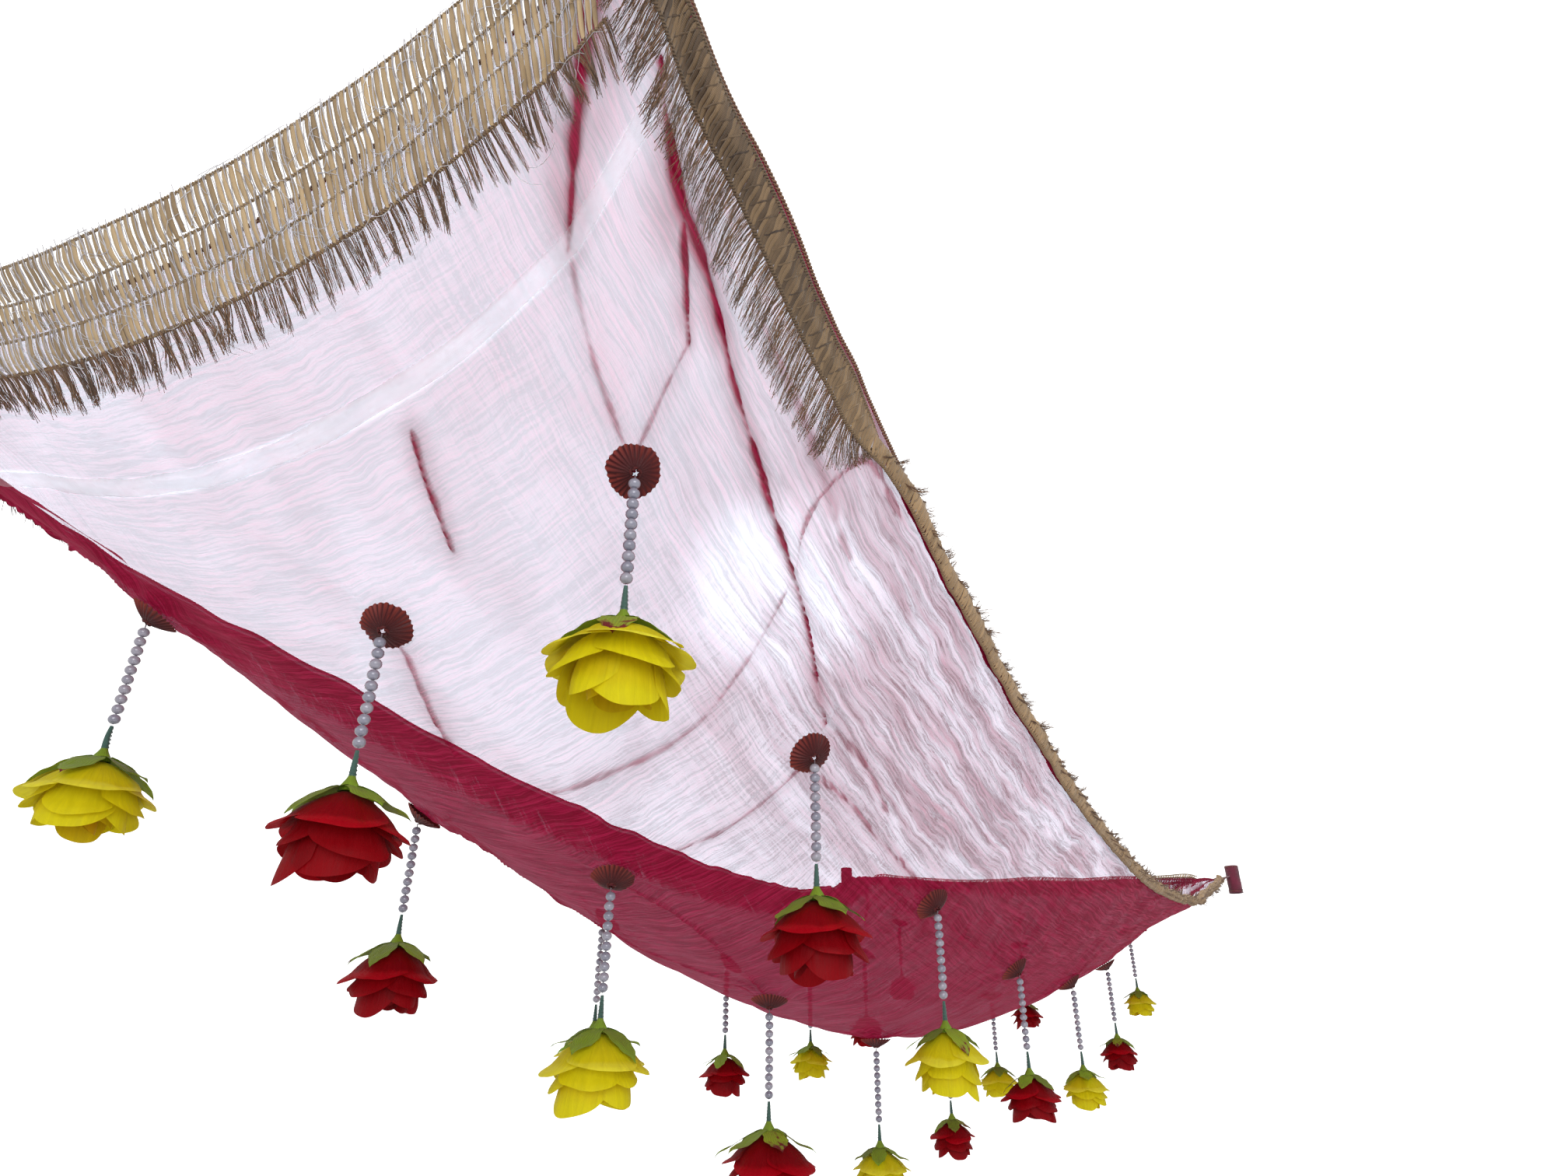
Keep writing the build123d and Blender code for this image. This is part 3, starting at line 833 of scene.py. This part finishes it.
def hang_fringe(pile, rng, root, lean, pinch, length, place):
    """Threads in clumps that leave an edge and sag under the cloth. place turns (share along, distance out,
    sag) into points."""
    t = np.linspace(0, 1, 6)[None, :]
    wave = rng.normal(0, 0.0007, (len(root), 1)) * np.sin(t * rng.uniform(3, 8, (len(root), 1)))
    along = root[:, None] + pinch[:, None] * 0.35 * t ** 0.8 + lean[:, None] * t + wave * t
    sag = MM * (2.0 + rng.uniform(2.0, 7.0, (len(root), 1)) * t ** 1.6 + rng.uniform(-0.8, 0.8, (len(root), 1)))
    lines = place(along, length[:, None] * t, sag)
    pile.add(tubes(lines, 0.30 * MM, 4, 0.6), rng.uniform(0, 1, len(root)), (1, 6, 1), wrap=True)


def from_end(end, a):
    """A share of the length, counted from the near or the far end."""
    return a if end == "near" else 1 - a


def make_end_trim(end, bar_material, fringe_material, lint_material):
    """Staggered rows of slanted flat gold bars across a short end, a fringe inside them, and loose threads."""
    rng = np.random.default_rng(41 if end == "near" else 42)
    pitch, slant = 0.0056 / CLOTH_WIDTH, 0.0085 / CLOTH_WIDTH
    pile = Pile()
    for row in range(END_BRAID_ROWS):
        places = np.arange(END_INSET, 1 - END_INSET - slant, pitch) + row % 2 * pitch / 2
        t = np.linspace(0, 1, 7)[None, :]
        start, stop = END_START + row * END_BRAID + 0.0006, END_START + (row + 1) * END_BRAID + 0.0004
        a = start + (stop - start) * t + rng.normal(0, 0.00025, (len(places), 1))
        b = places[:, None] + slant * t + rng.normal(0, 0.0004, (len(places), 1))
        b = b + 0.0006 * np.sin(math.pi * t) * rng.normal(0, 1, (len(places), 1))
        lift = MM * (1.6 + 1.5 * np.sin(math.pi * t) + rng.uniform(-0.3, 0.6, (len(places), 1))) + 0 * a
        a, b = np.broadcast_arrays(from_end(end, a), b.clip(0.001, 0.999))
        rings = straps(cloth_at(a, b, UNDERSIDE + lift), cloth_normal(a, b), 1.75 * MM, 0.55 * MM, ends=0.7)
        pile.add(rings, rng.uniform(0.25, 1.0, len(places)), (3, 20, 1), wrap=True, caps=True)
    b = np.linspace(END_INSET, 1 - END_INSET, 1500 // FINE)
    for seam in range(END_BRAID_ROWS + 1):
        for twist in strands(b * CLOTH_WIDTH, 0.0045):
            a = END_START + seam * END_BRAID + 0.0006 + 0.6 * MM / CLOTH_LENGTH * np.cos(twist)
            lines = cloth_at(from_end(end, a), b, UNDERSIDE + 1.5 * MM + 0.6 * MM * np.sin(twist))[None]
            pile.add(tubes(lines, 0.6 * MM, 5), 0.25, (1, 400, 1), wrap=True)
    bars = pile.make(f"lace_{end}")
    finish_piece(bars, "canopy", [f"end_braid_{end}"], [bar_material])

    pile = Pile()
    clumps = np.arange(END_INSET, 1 - END_INSET, 0.0066 / CLOTH_WIDTH)
    threads = 14 // FINE
    root = np.repeat(clumps, threads) + rng.uniform(-0.003, 0.003, len(clumps) * threads) / CLOTH_WIDTH
    lean = np.repeat(rng.normal(0.003, 0.004, len(clumps)), threads) / CLOTH_WIDTH
    pinch = np.repeat(clumps, threads) - root
    length = np.repeat(rng.uniform(0.026, 0.036, len(clumps)), threads) * rng.uniform(0.7, 1.0, len(root))

    def place(along, out, sag):
        a = END_START + END_BRAID_ROWS * END_BRAID + out / CLOTH_LENGTH
        return cloth_at(from_end(end, a), along.clip(0.001, 0.999), UNDERSIDE + sag)

    hang_fringe(pile, rng, root, lean, pinch, length, place)
    fringe = pile.make(f"fringe_{end}")
    finish_piece(fringe, "canopy", [f"end_fringe_{end}"], [fringe_material])

    pile = Pile()
    count = 260 // FINE
    t = np.linspace(0, 1, 9)[None, :]
    size = rng.uniform(0.010, 0.034, (count, 1))
    heading = rng.uniform(0, TAU, (count, 1)) + 2.2 * (t - 0.5) * rng.normal(0, 1, (count, 1))
    a = END_START + rng.uniform(0.001, 0.034, (count, 1)) + (size * t * np.cos(heading) / CLOTH_LENGTH)
    b = rng.uniform(END_INSET, 1 - END_INSET, (count, 1)) + (size * t * np.sin(heading) / CLOTH_WIDTH)
    lift = MM * (3.4 + 2.4 * np.sin(math.pi * t) * rng.uniform(0, 1, (count, 1)))
    a, b = from_end(end, a.clip(END_START, 0.05)), b.clip(0.001, 0.999)
    pile.add(tubes(cloth_at(a, b, UNDERSIDE + lift), 0.22 * MM, 4, 0.8), rng.uniform(0.3, 1, count), (1, 9, 1),
             wrap=True)
    for row in range(END_BRAID_ROWS):
        for aside in (0.42, 0.58):
            places = np.arange(END_INSET, 1 - END_INSET - slant, pitch) + (row % 2 / 2 + aside) * pitch
            a = END_START + (row + t) * END_BRAID + rng.normal(0, 0.0005, (len(places), 1))
            b = places[:, None] + slant * t + 0.0006 * np.sin(7 * t + rng.uniform(0, 6, (len(places), 1)))
            lift = MM * (2.0 + 1.2 * np.sin(math.pi * t) + rng.uniform(-0.4, 0.8, (len(places), 1)))
            lines = cloth_at(from_end(end, a), b.clip(0.001, 0.999), UNDERSIDE + lift)
            pile.add(tubes(lines, 0.34 * MM, 4), rng.uniform(0.2, 0.9, len(places)), (1, 9, 1), wrap=True)
    lint = pile.make(f"loose_threads_{end}")
    finish_piece(lint, "canopy", [], [lint_material])
    return bars, fringe, lint


def make_ribbon(material):
    b = np.linspace(0.066, 0.934, 420 // FINE)[None, :]
    v = np.linspace(-1, 1, 11)[:, None]
    a = (np.interp(b, *zip(*RIBBON_ROUTE)) + RIBBON_HALF * v * (1 + 0.09 * noise(b * 40, v, 21))
         + 0.0006 * noise(b * 14, 0 * v, 22))
    below = MM * (1.5 + 0.7 * noise(b * 60, 1.3 * v, 23) + 0.5 * noise(b * 170, 2 * v, 24))
    a, b = np.broadcast_arrays(a, b)
    flat = np.stack([a * CLOTH_LENGTH, b * CLOTH_WIDTH, 0 * a], -1)
    ribbon = mesh_object("ribbon", cloth_at(a, b, UNDERSIDE + below).reshape(-1, 3), grid_faces(*a.shape), True,
                         {"flat": flat.reshape(-1, 3)})
    return finish_piece(ribbon, "canopy", ["cross_ribbon"], [material])


def make_hem(material):
    """A golden-brown cord overcast all round the cloth's hem."""
    pile = Pile()
    for start, stop, size in (((0, 0), (1, 0), CLOTH_LENGTH), ((0, 1), (1, 1), CLOTH_LENGTH),
                              ((0, 0), (0, 1), CLOTH_WIDTH), ((1, 0), (1, 1), CLOTH_WIDTH)):
        t = np.linspace(0, 1, int(size / 0.0011) // FINE)
        a, b = start[0] + (stop[0] - start[0]) * t, start[1] + (stop[1] - start[1]) * t
        inwards = [0 if p != q else 0.5 - p for p, q in zip(start, stop)]
        inwards = np.sign(inwards) * MM / np.array([CLOTH_LENGTH, CLOTH_WIDTH])
        for twist in strands(t * size, 0.006):
            p, q = a + inwards[0] * (1 + np.cos(twist)), b + inwards[1] * (1 + np.cos(twist))
            lines = cloth_at(p, q, 0.9 * MM * np.sin(twist))[None]
            pile.add(tubes(lines, 0.8 * MM, 5), 0.35, (1, 350 * size, 1), wrap=True)
    return finish_piece(pile.make("hem"), "canopy", [], [material])


# ---------------------------------------------------------------- the drops

def drop_places():
    """Eye and hook of every drop, from the joints."""
    at = {joint["name"]: np.array(joint["pos_m"], float) for joint in frame["joints"]}
    places = {}
    for name in DROPS:
        eye = at[f"string_swing_{name}"]
        places[name] = (eye, eye - (0, 0, STRING_LENGTH + STEM_GAP))
    return places


def local_frame(a, b):
    """The seat of a rosette under the cloth, with its axis out of the cloth."""
    out = cloth_normal(np.array(a), np.array(b))
    side = unit(np.cross(out, (1.0, 0, 0)))
    return cloth_base(np.array(a), np.array(b)) + out * UNDERSIDE, np.stack([side, np.cross(out, side), out])


# A rosette's two layers of pleats: rim radius and height, neck radius and height in mm, and how many pleats.
ROSETTE_LAYERS = [(19.0, 0.9, 4.6, 8.6, 27), (12.0, 4.4, 3.4, 9.2, 19)]
WRAPS, WRAP_R, KNOT_SIZE, KNOT_R = 5, 1.25 * MM, 0.72 * MM, 0.62 * MM


def make_rosettes(material, knot_material):
    rosettes, knots = Pile(), Pile()
    theta = full_turn(216)[None, :]
    v = np.linspace(0, 1, 12)[:, None]
    for index, (a, b) in enumerate(DROPS.values()):
        rng = np.random.default_rng(500 + index)
        seat, axes = local_frame(a, b)
        for layer, (rim, rim_height, neck, neck_height, pleats) in enumerate(ROSETTE_LAYERS):
            phase = rng.uniform(0, 6)
            jitter = 0.8 * noise(2.4 * np.cos(theta), 2.4 * np.sin(theta), 40 + index + 7 * layer)
            ripple = pleats * theta + phase + 1.5 * jitter
            fold = np.cos(ripple)
            radius = neck + (rim - neck) * v ** 0.8 + v * (0.02 * rim * fold + 0.08 * rim * jitter)
            height = (neck_height + (rim_height - neck_height) * v ** 1.15 + 0.85 * v ** 0.7 * np.sin(ripple)
                      + 0.4 * v * jitter)
            local = MM * around(radius, theta, height)
            local[..., 2] = np.maximum(local[..., 2], 0.5 * MM)
            # Lighter towards the rim; lighter on one flank of each pleat and darker on the other as painted
            # highlight and painted shade; the smaller layer a little darker.
            tone = 0.30 + 0.32 * v + 0.22 * fold * v - 0.08 * layer
            rosettes.add((seat + local @ axes)[None], tone[None], (9, 1, 1), wrap=True)
        for turn in full_turn(WRAPS):
            s = np.linspace(0, 1, 12)
            local = MM * around(3.6 - 1.3 * s + 0.6 * np.sin(math.pi * s), turn + 1.4 * s, 7.4 + 2.4 * s)
            rosettes.add(tubes((seat + local @ axes)[None], WRAP_R, 7), 0.45, (1, 3, 1), wrap=True, caps=True)
        s = np.linspace(0, TAU, 48)
        local = KNOT_SIZE * points_of(np.sin(s) + 2 * np.sin(2 * s), np.cos(s) - 2 * np.cos(2 * s),
                                      -np.sin(3 * s) - 4.2)
        knots.add(tubes((seat + local @ axes)[None], KNOT_R, 6), 0.6, (1, 12, 1), wrap=True)
    made = rosettes.make("rosettes_pleated")
    finish_piece(made, "canopy", ["rosettes"], [material])
    tied = knots.make("knots")
    finish_piece(tied, "canopy", ["thread_knots"], [knot_material])
    return made, tied


def make_string(name, eye, pearl, thread_material):
    rng = np.random.default_rng(700 + list(DROPS).index(name))
    curve = bpy.data.curves.new(f"thread_{name}", "CURVE")
    curve.dimensions, curve.bevel_depth, curve.bevel_resolution = "3D", THREAD_R, 2
    spline = curve.splines.new("NURBS")
    stops = np.linspace(0, 1, 8)
    spline.points.add(len(stops) - 1)
    for point, t in zip(spline.points, stops):
        point.co = (*(eye - (0, 0, STRING_LENGTH * t)), 1)
    spline.order_u, spline.use_endpoint_u = 3, True
    thread = bpy.data.objects.new(f"thread_{name}", curve)
    bpy.context.scene.collection.objects.link(thread)
    finish_piece(thread, f"string_{name}", [f"bead_string_{name}"], [thread_material])

    pile = Pile()
    u = full_turn(24)[None, :]
    v = np.linspace(0.07, math.pi - 0.07, 15)[:, None]
    for bead in range(BEADS):
        size = BEAD_R * rng.uniform(0.975, 1.0) * np.array((BEAD_SPREAD, BEAD_SPREAD, 1))
        dent = 1 + 0.012 * noise(2 * np.cos(u) + bead, 2 * np.sin(u) + 3 * v, 60 + bead)
        ball = size * dent[..., None] * around(np.sin(v), u, np.cos(v))
        place = eye - (0, 0, FIRST_BEAD + bead * BEAD_PITCH) + (*rng.normal(0, 0.00012, 2), 0)
        pile.add((place + ball)[None], rng.uniform(0.2, 0.9), (3, 2, 40), wrap=True)
    beads = pile.make(f"beads_{name}")
    finish_piece(beads, f"string_{name}", [f"bead_string_{name}"], [pearl])
    return thread, beads


# One layer of petals: count, reach and depth as shares of the rose's radius and height, half width as an angle
# in degrees, how far down from the calyx it starts (mm), how the petal bends (low is flared, high is cupped),
# how much its rim curls out, and its tone, lower for the inner layers as painted shade.
PETAL_LAYERS = [
    (5, 0.93, 0.58, 44, 2, 1.6, 0.10, 0.95),
    (5, 0.78, 0.80, 45, 4, 2.1, 0.09, 0.82),
    (4, 0.66, 0.98, 56, 7, 2.7, 0.02, 0.62),
    (3, 0.45, 0.92, 74, 10, 3.0, -0.02, 0.36),
    (2, 0.24, 0.84, 115, 12, 3.4, 0.0, 0.18),
]
ROSE_SCALE = {"a1": 1.08, "a2": 1.0, "b2": 0.98, "b3": 1.1, "a3": 0.86, "a4": 0.99, "a5": 1.0, "a6": 0.93,
              "a7": 0.9, "b4": 1.05, "c4": 0.95}


def petal_profile(edge, radius, tall, reach, low, cup):
    """How far out and how far down a petal is, from its foot (0) to its rim (1)."""
    edge = edge.clip(0, 1)
    out = 3.2 * MM + (reach * radius - 3.2 * MM) * (1 - (1 - edge) ** cup) ** 0.85
    return out, low * tall * edge ** 1.12


def make_petals(rng, radius, tall):
    crown = -(STEM + CALYX)
    u = np.linspace(-1, 1, 25)[None, :]
    v = np.linspace(0, 1, 16)[:, None]
    grids, tones = [], []
    for layer, (count, reach, low, half_width, start, cup, curl, tone) in enumerate(PETAL_LAYERS):
        offset = rng.uniform(0, TAU)
        for petal in range(count):
            vigour, lean = rng.uniform(0.90, 1.05), rng.uniform(-1, 1)
            length = low * rng.uniform(0.86, 1.06)
            middle = offset + TAU * petal / count + rng.normal(0, 0.07)
            edge = v * (1 - 0.24 * np.abs(u) ** 2.4 + lean * u * 0.10 - 0.01)
            width = math.radians(half_width) * (0.68 + 0.40 * np.sin(math.pi * (0.05 + 0.62 * v)) ** 0.9)
            angle = middle + width * u * (1 + 0.03 * noise(u * 2, v * 2, petal + 10 * layer))
            out, drop = petal_profile(edge, radius * vigour, tall, reach, length, cup)
            rim = smooth_step(0.66, 1.0, edge)
            swell = noise(1.3 * u + 3 * petal, 1.2 * v + layer, 70 + petal)
            waves = np.sin(rng.uniform(2, 3.4) * u + rng.uniform(0, 6))
            waves = waves + 0.35 * np.sin(6 * u + rng.uniform(0, 6))
            out = out + radius * (rim * (curl + 0.030 * waves) + 0.035 * swell * v)
            out = out * (1 - 0.03 * np.abs(u) ** 2) + 0.35 * MM * (petal % 2)
            drop = drop - radius * rim * (0.75 * max(curl, 0) - 0.025 * waves)
            height = crown - MM * start * (1 - v) - drop + 0.3 * MM * noise(4 * u + petal, 5 * v, 80 + layer)
            height = np.minimum(height, crown + 0.5 * MM)
            grids.append(around(out, angle, height))
            # Darker towards the foot as painted shade, a little darker towards the sides, and lighter on the
            # rim as a painted highlight.
            tones.append((tone - 0.22 + 0.22 * v - 0.04 * np.abs(u) + 0.07 * rim) + 0 * u)
    return np.array(grids), np.array(tones)


def make_greens(pile, rng, radius, hook):
    """Calyx, sepals that lie on the outer petals, and now and then a long thin leaf."""
    crown = -(STEM + CALYX)
    tall = radius * ROSE_TALL
    theta = full_turn(30)[None, :]
    v = np.linspace(0, 1, 14)[:, None]
    bulb = 2.3 + 4.4 * np.sin(v * math.pi / 2) ** 1.5 + 0.3 * v * np.cos(5 * theta) + 0.12 * np.cos(15 * theta)
    calyx = around(MM * bulb, theta, -STEM - (CALYX + 1.5 * MM) * v)
    pile.add((hook + calyx)[None], (0.35 + 0.25 * v)[None], (3, 1, 1), wrap=True, caps=True, slot=0)
    u = np.linspace(-1, 1, 11)[None, :]
    v = np.linspace(0, 1, 20)[:, None]
    grids, tones = [], []
    start = rng.uniform(0, TAU)
    leaves = [(start + TAU * k / 5 + rng.normal(0, 0.1), rng.uniform(0.62, 0.85), 0.25, 0) for k in range(5)]
    if rng.uniform() < 0.5:
        leaves.append((start + 0.6, 0.98, 0.05, 1))
    reach, low, cup = PETAL_LAYERS[0][1], PETAL_LAYERS[0][2], PETAL_LAYERS[0][5]
    for turn, far, wide, thin in leaves:
        shape = np.sin(math.pi * (0.12 + 0.88 * v) ** 0.85).clip(0, 1) ** 0.75
        edge = 1 + 0.07 * np.sin(20 * v + rng.uniform(0, 6)) * (1 - thin)
        out, drop = petal_profile(v * far * (1 - 0.10 * u ** 2), radius, tall, reach, low, cup)
        lift = rng.uniform(0.0, 0.16) * radius * smooth_step(0.45, 1.0, v) + 0.12 * radius * thin * v
        across = wide * radius * u * shape * edge
        crimp = MM * (1.2 * v * (1 - u ** 2) + 0.5 * noise(3 * u, 6 * v + turn, 90))
        height = crown + 1.9 * MM + lift - drop + crimp
        out = np.maximum(out, 2.6 * MM) + lift * 0.7 + 1.2 * MM
        place = points_of(out * np.cos(turn) - across * np.sin(turn),
                          out * np.sin(turn) + across * np.cos(turn), height)
        grids.append(hook + place)
        tones.append(0.25 + 0.6 * rng.uniform() + 0.12 * (v - 0.5) + 0 * u)
        if rng.uniform() < 0.2 and not thin:
            tones[-1] = np.where(v + 0 * u > 0.86, 1.0, tones[-1])
    pile.add(np.array(grids), np.array(tones), (1, 1, 9), slot=0)


TAPE_TURNS = 5


def make_rose(name, hook, petal_material, leaf_material, stem_material):
    rng = np.random.default_rng(900 + list(DROPS).index(name))
    radius = OPEN_ROSE if int(name[1]) <= OPEN_COLUMNS else HALF_OPEN_ROSE
    tall = radius * ROSE_TALL
    radius = radius * ROSE_SCALE.get(name, rng.uniform(0.93, 1.03))
    pile = Pile()
    grids, tones = make_petals(rng, radius, tall)
    pile.add(hook + grids, tones, (1, 1, 7))
    petals = pile.make(f"petals_{name}")
    finish_piece(petals, f"rose_{name}", [f"rose_{name}"], [petal_material])

    pile = Pile()
    make_greens(pile, rng, radius, hook)
    s = np.linspace(0, 1, 16)
    bend = 0.5 * MM * np.sin(math.pi * s) * rng.normal(0, 1)
    line = hook + points_of(bend, 0.6 * bend, -0.9 * MM - (STEM - 0.7 * MM) * s)
    pile.add(tubes(line[None], 1.35 * MM, 10, 1.8), 0.5, (1, 8, 1), wrap=True, caps=True, slot=1)
    s = np.linspace(0, TAU, 28)
    loop = hook + MM * points_of(1.35 * np.sin(s), 0.25 * np.sin(s), -1.3 - 1.35 * (1 - np.cos(s)) / 1.3)
    pile.add(tubes(loop[None], 0.45 * MM, 6), 0.9, (1, 3, 1), wrap=True, slot=1)
    s = np.linspace(0, 1, 90)
    tape = hook + around(MM * (1.35 + 1.08 * s), TAU * TAPE_TURNS * s, -2.6 * MM - (STEM - 3.4 * MM) * s)
    pile.add(tubes(tape[None], 0.35 * MM, 5), 0.75, (1, 20, 1), wrap=True, slot=1)
    green = pile.make(f"calyx_{name}")
    finish_piece(green, f"rose_{name}", [f"rose_{name}"], [leaf_material, stem_material])
    return petals, green


# ---------------------------------------------------------------- pole pockets

POCKET_BORE, POCKET_WALL, POCKET_DEPTH, POCKET_REACH = 13 * MM, 2 * MM, 60 * MM, 28.3 * MM
TAB_WIDTH, TAB_LENGTH, TAB_INSIDE, TAB_THICK, TAB_LIFT = 26 * MM, 50 * MM, 26 * MM, 3 * MM, 3.3 * MM
TAB_UNDER_POCKET = 9 * MM
# Corded rings at the pocket's mouth: radius, thickness and heights above the mouth.
RING_R, RING_THICK, RING_LEVELS = 15.1 * MM, 0.9 * MM, (1.2 * MM, 7 * MM)
# Stitches: the route on the tab in mm along and across, the step between stitches, the share of a step that one
# starts and stops at, how far it stands out, and its thickness.
STITCH_ROUTE = [(3, -10), (23, -10), (23, 10), (3, 10), (3, -10), (23, 10), (23, -10), (3, 10)]
STITCH_STEP, STITCH_SPAN, STITCH_OUT, STITCH_R = 2.7, (0.12, 0.82), 0.12 * MM, 0.3 * MM
# Stitches round the sleeve: how many, radius, turn of each, and heights in from the mouth and the closed end.
ROUND_STITCHES, ROUND_STITCH_R, ROUND_STITCH_TURN, ROUND_STITCH_IN = 40, 15.45 * MM, 0.11, (4 * MM, 1 * MM)


def pocket_sleeve(pile, index, axis):
    """A sewn sleeve, open below and closed above, with corded rings at its mouth."""
    theta = full_turn(72)[None, :]
    rise = np.linspace(-POCKET_DEPTH / 2, POCKET_DEPTH / 2 + POCKET_WALL, 34)[:, None]
    ruck = noise(3 * np.cos(theta) + 9 * index, rise / 0.009 + 3 * np.sin(theta), 120)
    cap = np.linspace(1, 0.04, 10)[:, None]
    crown = POCKET_DEPTH / 2 + POCKET_WALL + 1.2 * MM * (1 - cap ** 2)
    rings = [
        (POCKET_BORE + 0.1 * MM, rise[::-1][1:]),
        (POCKET_BORE + POCKET_WALL + 0.45 * MM * ruck, rise),
        ((POCKET_BORE + POCKET_WALL) * cap, crown + 0.5 * MM * np.cos(11 * theta) * cap * (1 - cap)),
    ]
    wall = np.concatenate([around(radius, theta, height) for radius, height in rings])
    pile.add((axis + wall)[None], 0.5, (0.094, 0.17, 1), wrap=True)
    for level in RING_LEVELS:
        ring = axis + around(RING_R, np.linspace(0, TAU, 97), level - POCKET_DEPTH / 2)
        pile.add(tubes(ring[None], RING_THICK, 6), 0.5, (0.01, 0.09, 1), wrap=True)


def make_pocket(corner, a, b, canvas, stitch_material):
    """A pole pocket outside a corner, and the stitched tab that holds it to the cloth."""
    index = list(CORNERS).index(corner)
    rng = np.random.default_rng(80 + index)
    point = cloth_base(np.array(float(a)), np.array(float(b)))
    outward = np.array([2 * a - 1, 2 * b - 1, 0.0]) / math.sqrt(2)
    axis = point + outward * POCKET_REACH
    pile = Pile()
    pocket_sleeve(pile, index, axis)

    inside = cloth_base(np.array(a + (0.5 - a) * 0.1), np.array(b + (0.5 - b) * 0.1))
    slope = (inside - point) / np.linalg.norm(inside - point)
    across = np.array([-outward[1], outward[0], 0])
    up = np.cross(slope, across)
    up *= np.sign(up[2])
    across = np.cross(up, slope)
    near, far = TAB_INSIDE - TAB_LENGTH + TAB_UNDER_POCKET, TAB_INSIDE
    u = np.linspace(0, 1, 30)[None, :]
    v = np.linspace(-1, 1, 22)[:, None]
    for face in (1, -1):
        squeeze = (1 - np.abs(2 * u - 1) ** 12) * (1 - np.abs(v) ** 12)
        puff = face * (TAB_THICK / 2) * squeeze ** 0.5 + 0.35 * MM * noise(8 * u, 5 * v, 130 + index) * squeeze
        tab = (point + up * TAB_LIFT + slope * (near + (far - near) * u)[..., None]
               + across * (TAB_WIDTH / 2 * v)[..., None] + up * puff[..., None])
        pile.add(tab[None], 0.5, (0.04, 0.026, 1))
    sleeve = pile.make(f"pocket_{corner}")
    finish_piece(sleeve, "canopy", [f"pole_pocket_{corner}"], [canvas])

    stitches = []
    for (p0, q0), (p1, q1) in zip(STITCH_ROUTE, STITCH_ROUTE[1:]):
        steps = max(2, int(math.hypot(p1 - p0, q1 - q0) / STITCH_STEP))
        for k in range(steps):
            spots = [(p0 + (p1 - p0) * (k + f) / steps, q0 + (q1 - q0) * (k + f) / steps) for f in STITCH_SPAN]
            for face in (1, -1):
                level = up * (TAB_LIFT + face * (TAB_THICK / 2 + STITCH_OUT))
                stitches.append([point + slope * p * MM + across * q * MM + level for p, q in spots])
    low, high = ROUND_STITCH_IN
    for turn in full_turn(ROUND_STITCHES):
        for level in (low - POCKET_DEPTH / 2, POCKET_DEPTH / 2 - high):
            stitches.append(axis + around(ROUND_STITCH_R, turn + np.array([0, ROUND_STITCH_TURN]), level))
    starts, ends = np.array(stitches).transpose(1, 0, 2)
    t = np.linspace(0, 1, 4)[None, :, None]
    lines = starts[:, None] + (ends - starts)[:, None] * t
    pile = Pile()
    tones = rng.uniform(0.3, 1, len(stitches))
    pile.add(tubes(lines, STITCH_R, 5), tones, (1, 1, 1), wrap=True, caps=True)
    seam = pile.make(f"stitches_{corner}")
    finish_piece(seam, "canopy", [], [stitch_material])
    return sleeve, seam


# ---------------------------------------------------------------- the whole

make_camera()
make_world()
make_lights_and_floor()

gold = make_thread_material("gold_lace", (0.17, 0.10, 0.045), (0.68, 0.49, 0.27), 0.2, 0.45)
rope = make_thread_material("gold_braid", (0.030, 0.014, 0.008), (0.62, 0.40, 0.20), 0.15, 0.55)
tassel = make_thread_material("gold_fringe", (0.045, 0.018, 0.008), (0.34, 0.17, 0.07), 0.05, 0.6)
drop_thread = make_thread_material("drop_thread", (0.16, 0.10, 0.13), (0.42, 0.36, 0.42), 0.0, 0.55)
lint_thread = make_thread_material("grey_thread", (0.42, 0.39, 0.42), (0.85, 0.83, 0.86), 0.0, 0.6)
hem_thread = make_thread_material("hem_thread", (0.14, 0.05, 0.03), (0.50, 0.30, 0.16), 0.1, 0.55)
stem_tape = make_thread_material("stem_tape", (0.02, 0.07, 0.05), (0.06, 0.16, 0.13), 0.0, 0.5)
# Rim, face, heart and see-through colours: the rim is lighter as a painted highlight and the heart darker as
# painted shade.
yellow = make_petal_material("yellow_petals", (0.88, 0.84, 0.05), (0.76, 0.68, 0.008), (0.50, 0.22, 0.001),
                             (0.80, 0.60, 0.002))
red = make_petal_material("red_petals", (0.42, 0.0, 0.008), (0.25, 0.0, 0.004), (0.07, 0.0, 0.001),
                          (0.62, 0.0, 0.006))
leaf, satin, pearl = make_leaf_material(), make_satin_material(), make_pearl_material()
canvas = make_pocket_material()

cloth = make_cloth(make_cloth_material())
on_cloth = [make_hem(hem_thread), make_ribbon(make_ribbon_material())]
for side in ("right", "left"):
    on_cloth += make_side_trim(side, rope, tassel)
for end in ("near", "far"):
    on_cloth += make_end_trim(end, gold, tassel, lint_thread)
on_cloth += make_rosettes(satin, lint_thread)
for corner, (a, b) in CORNERS.items():
    on_cloth += make_pocket(corner, a, b, canvas, rope)

for name, (eye, hook) in drop_places().items():
    make_string(name, eye, pearl, drop_thread)
    in_yellow = ("abc".index(name[0]) + int(name[1]) - 1) % 2 == 0
    make_rose(name, hook, yellow if in_yellow else red, leaf, stem_tape)
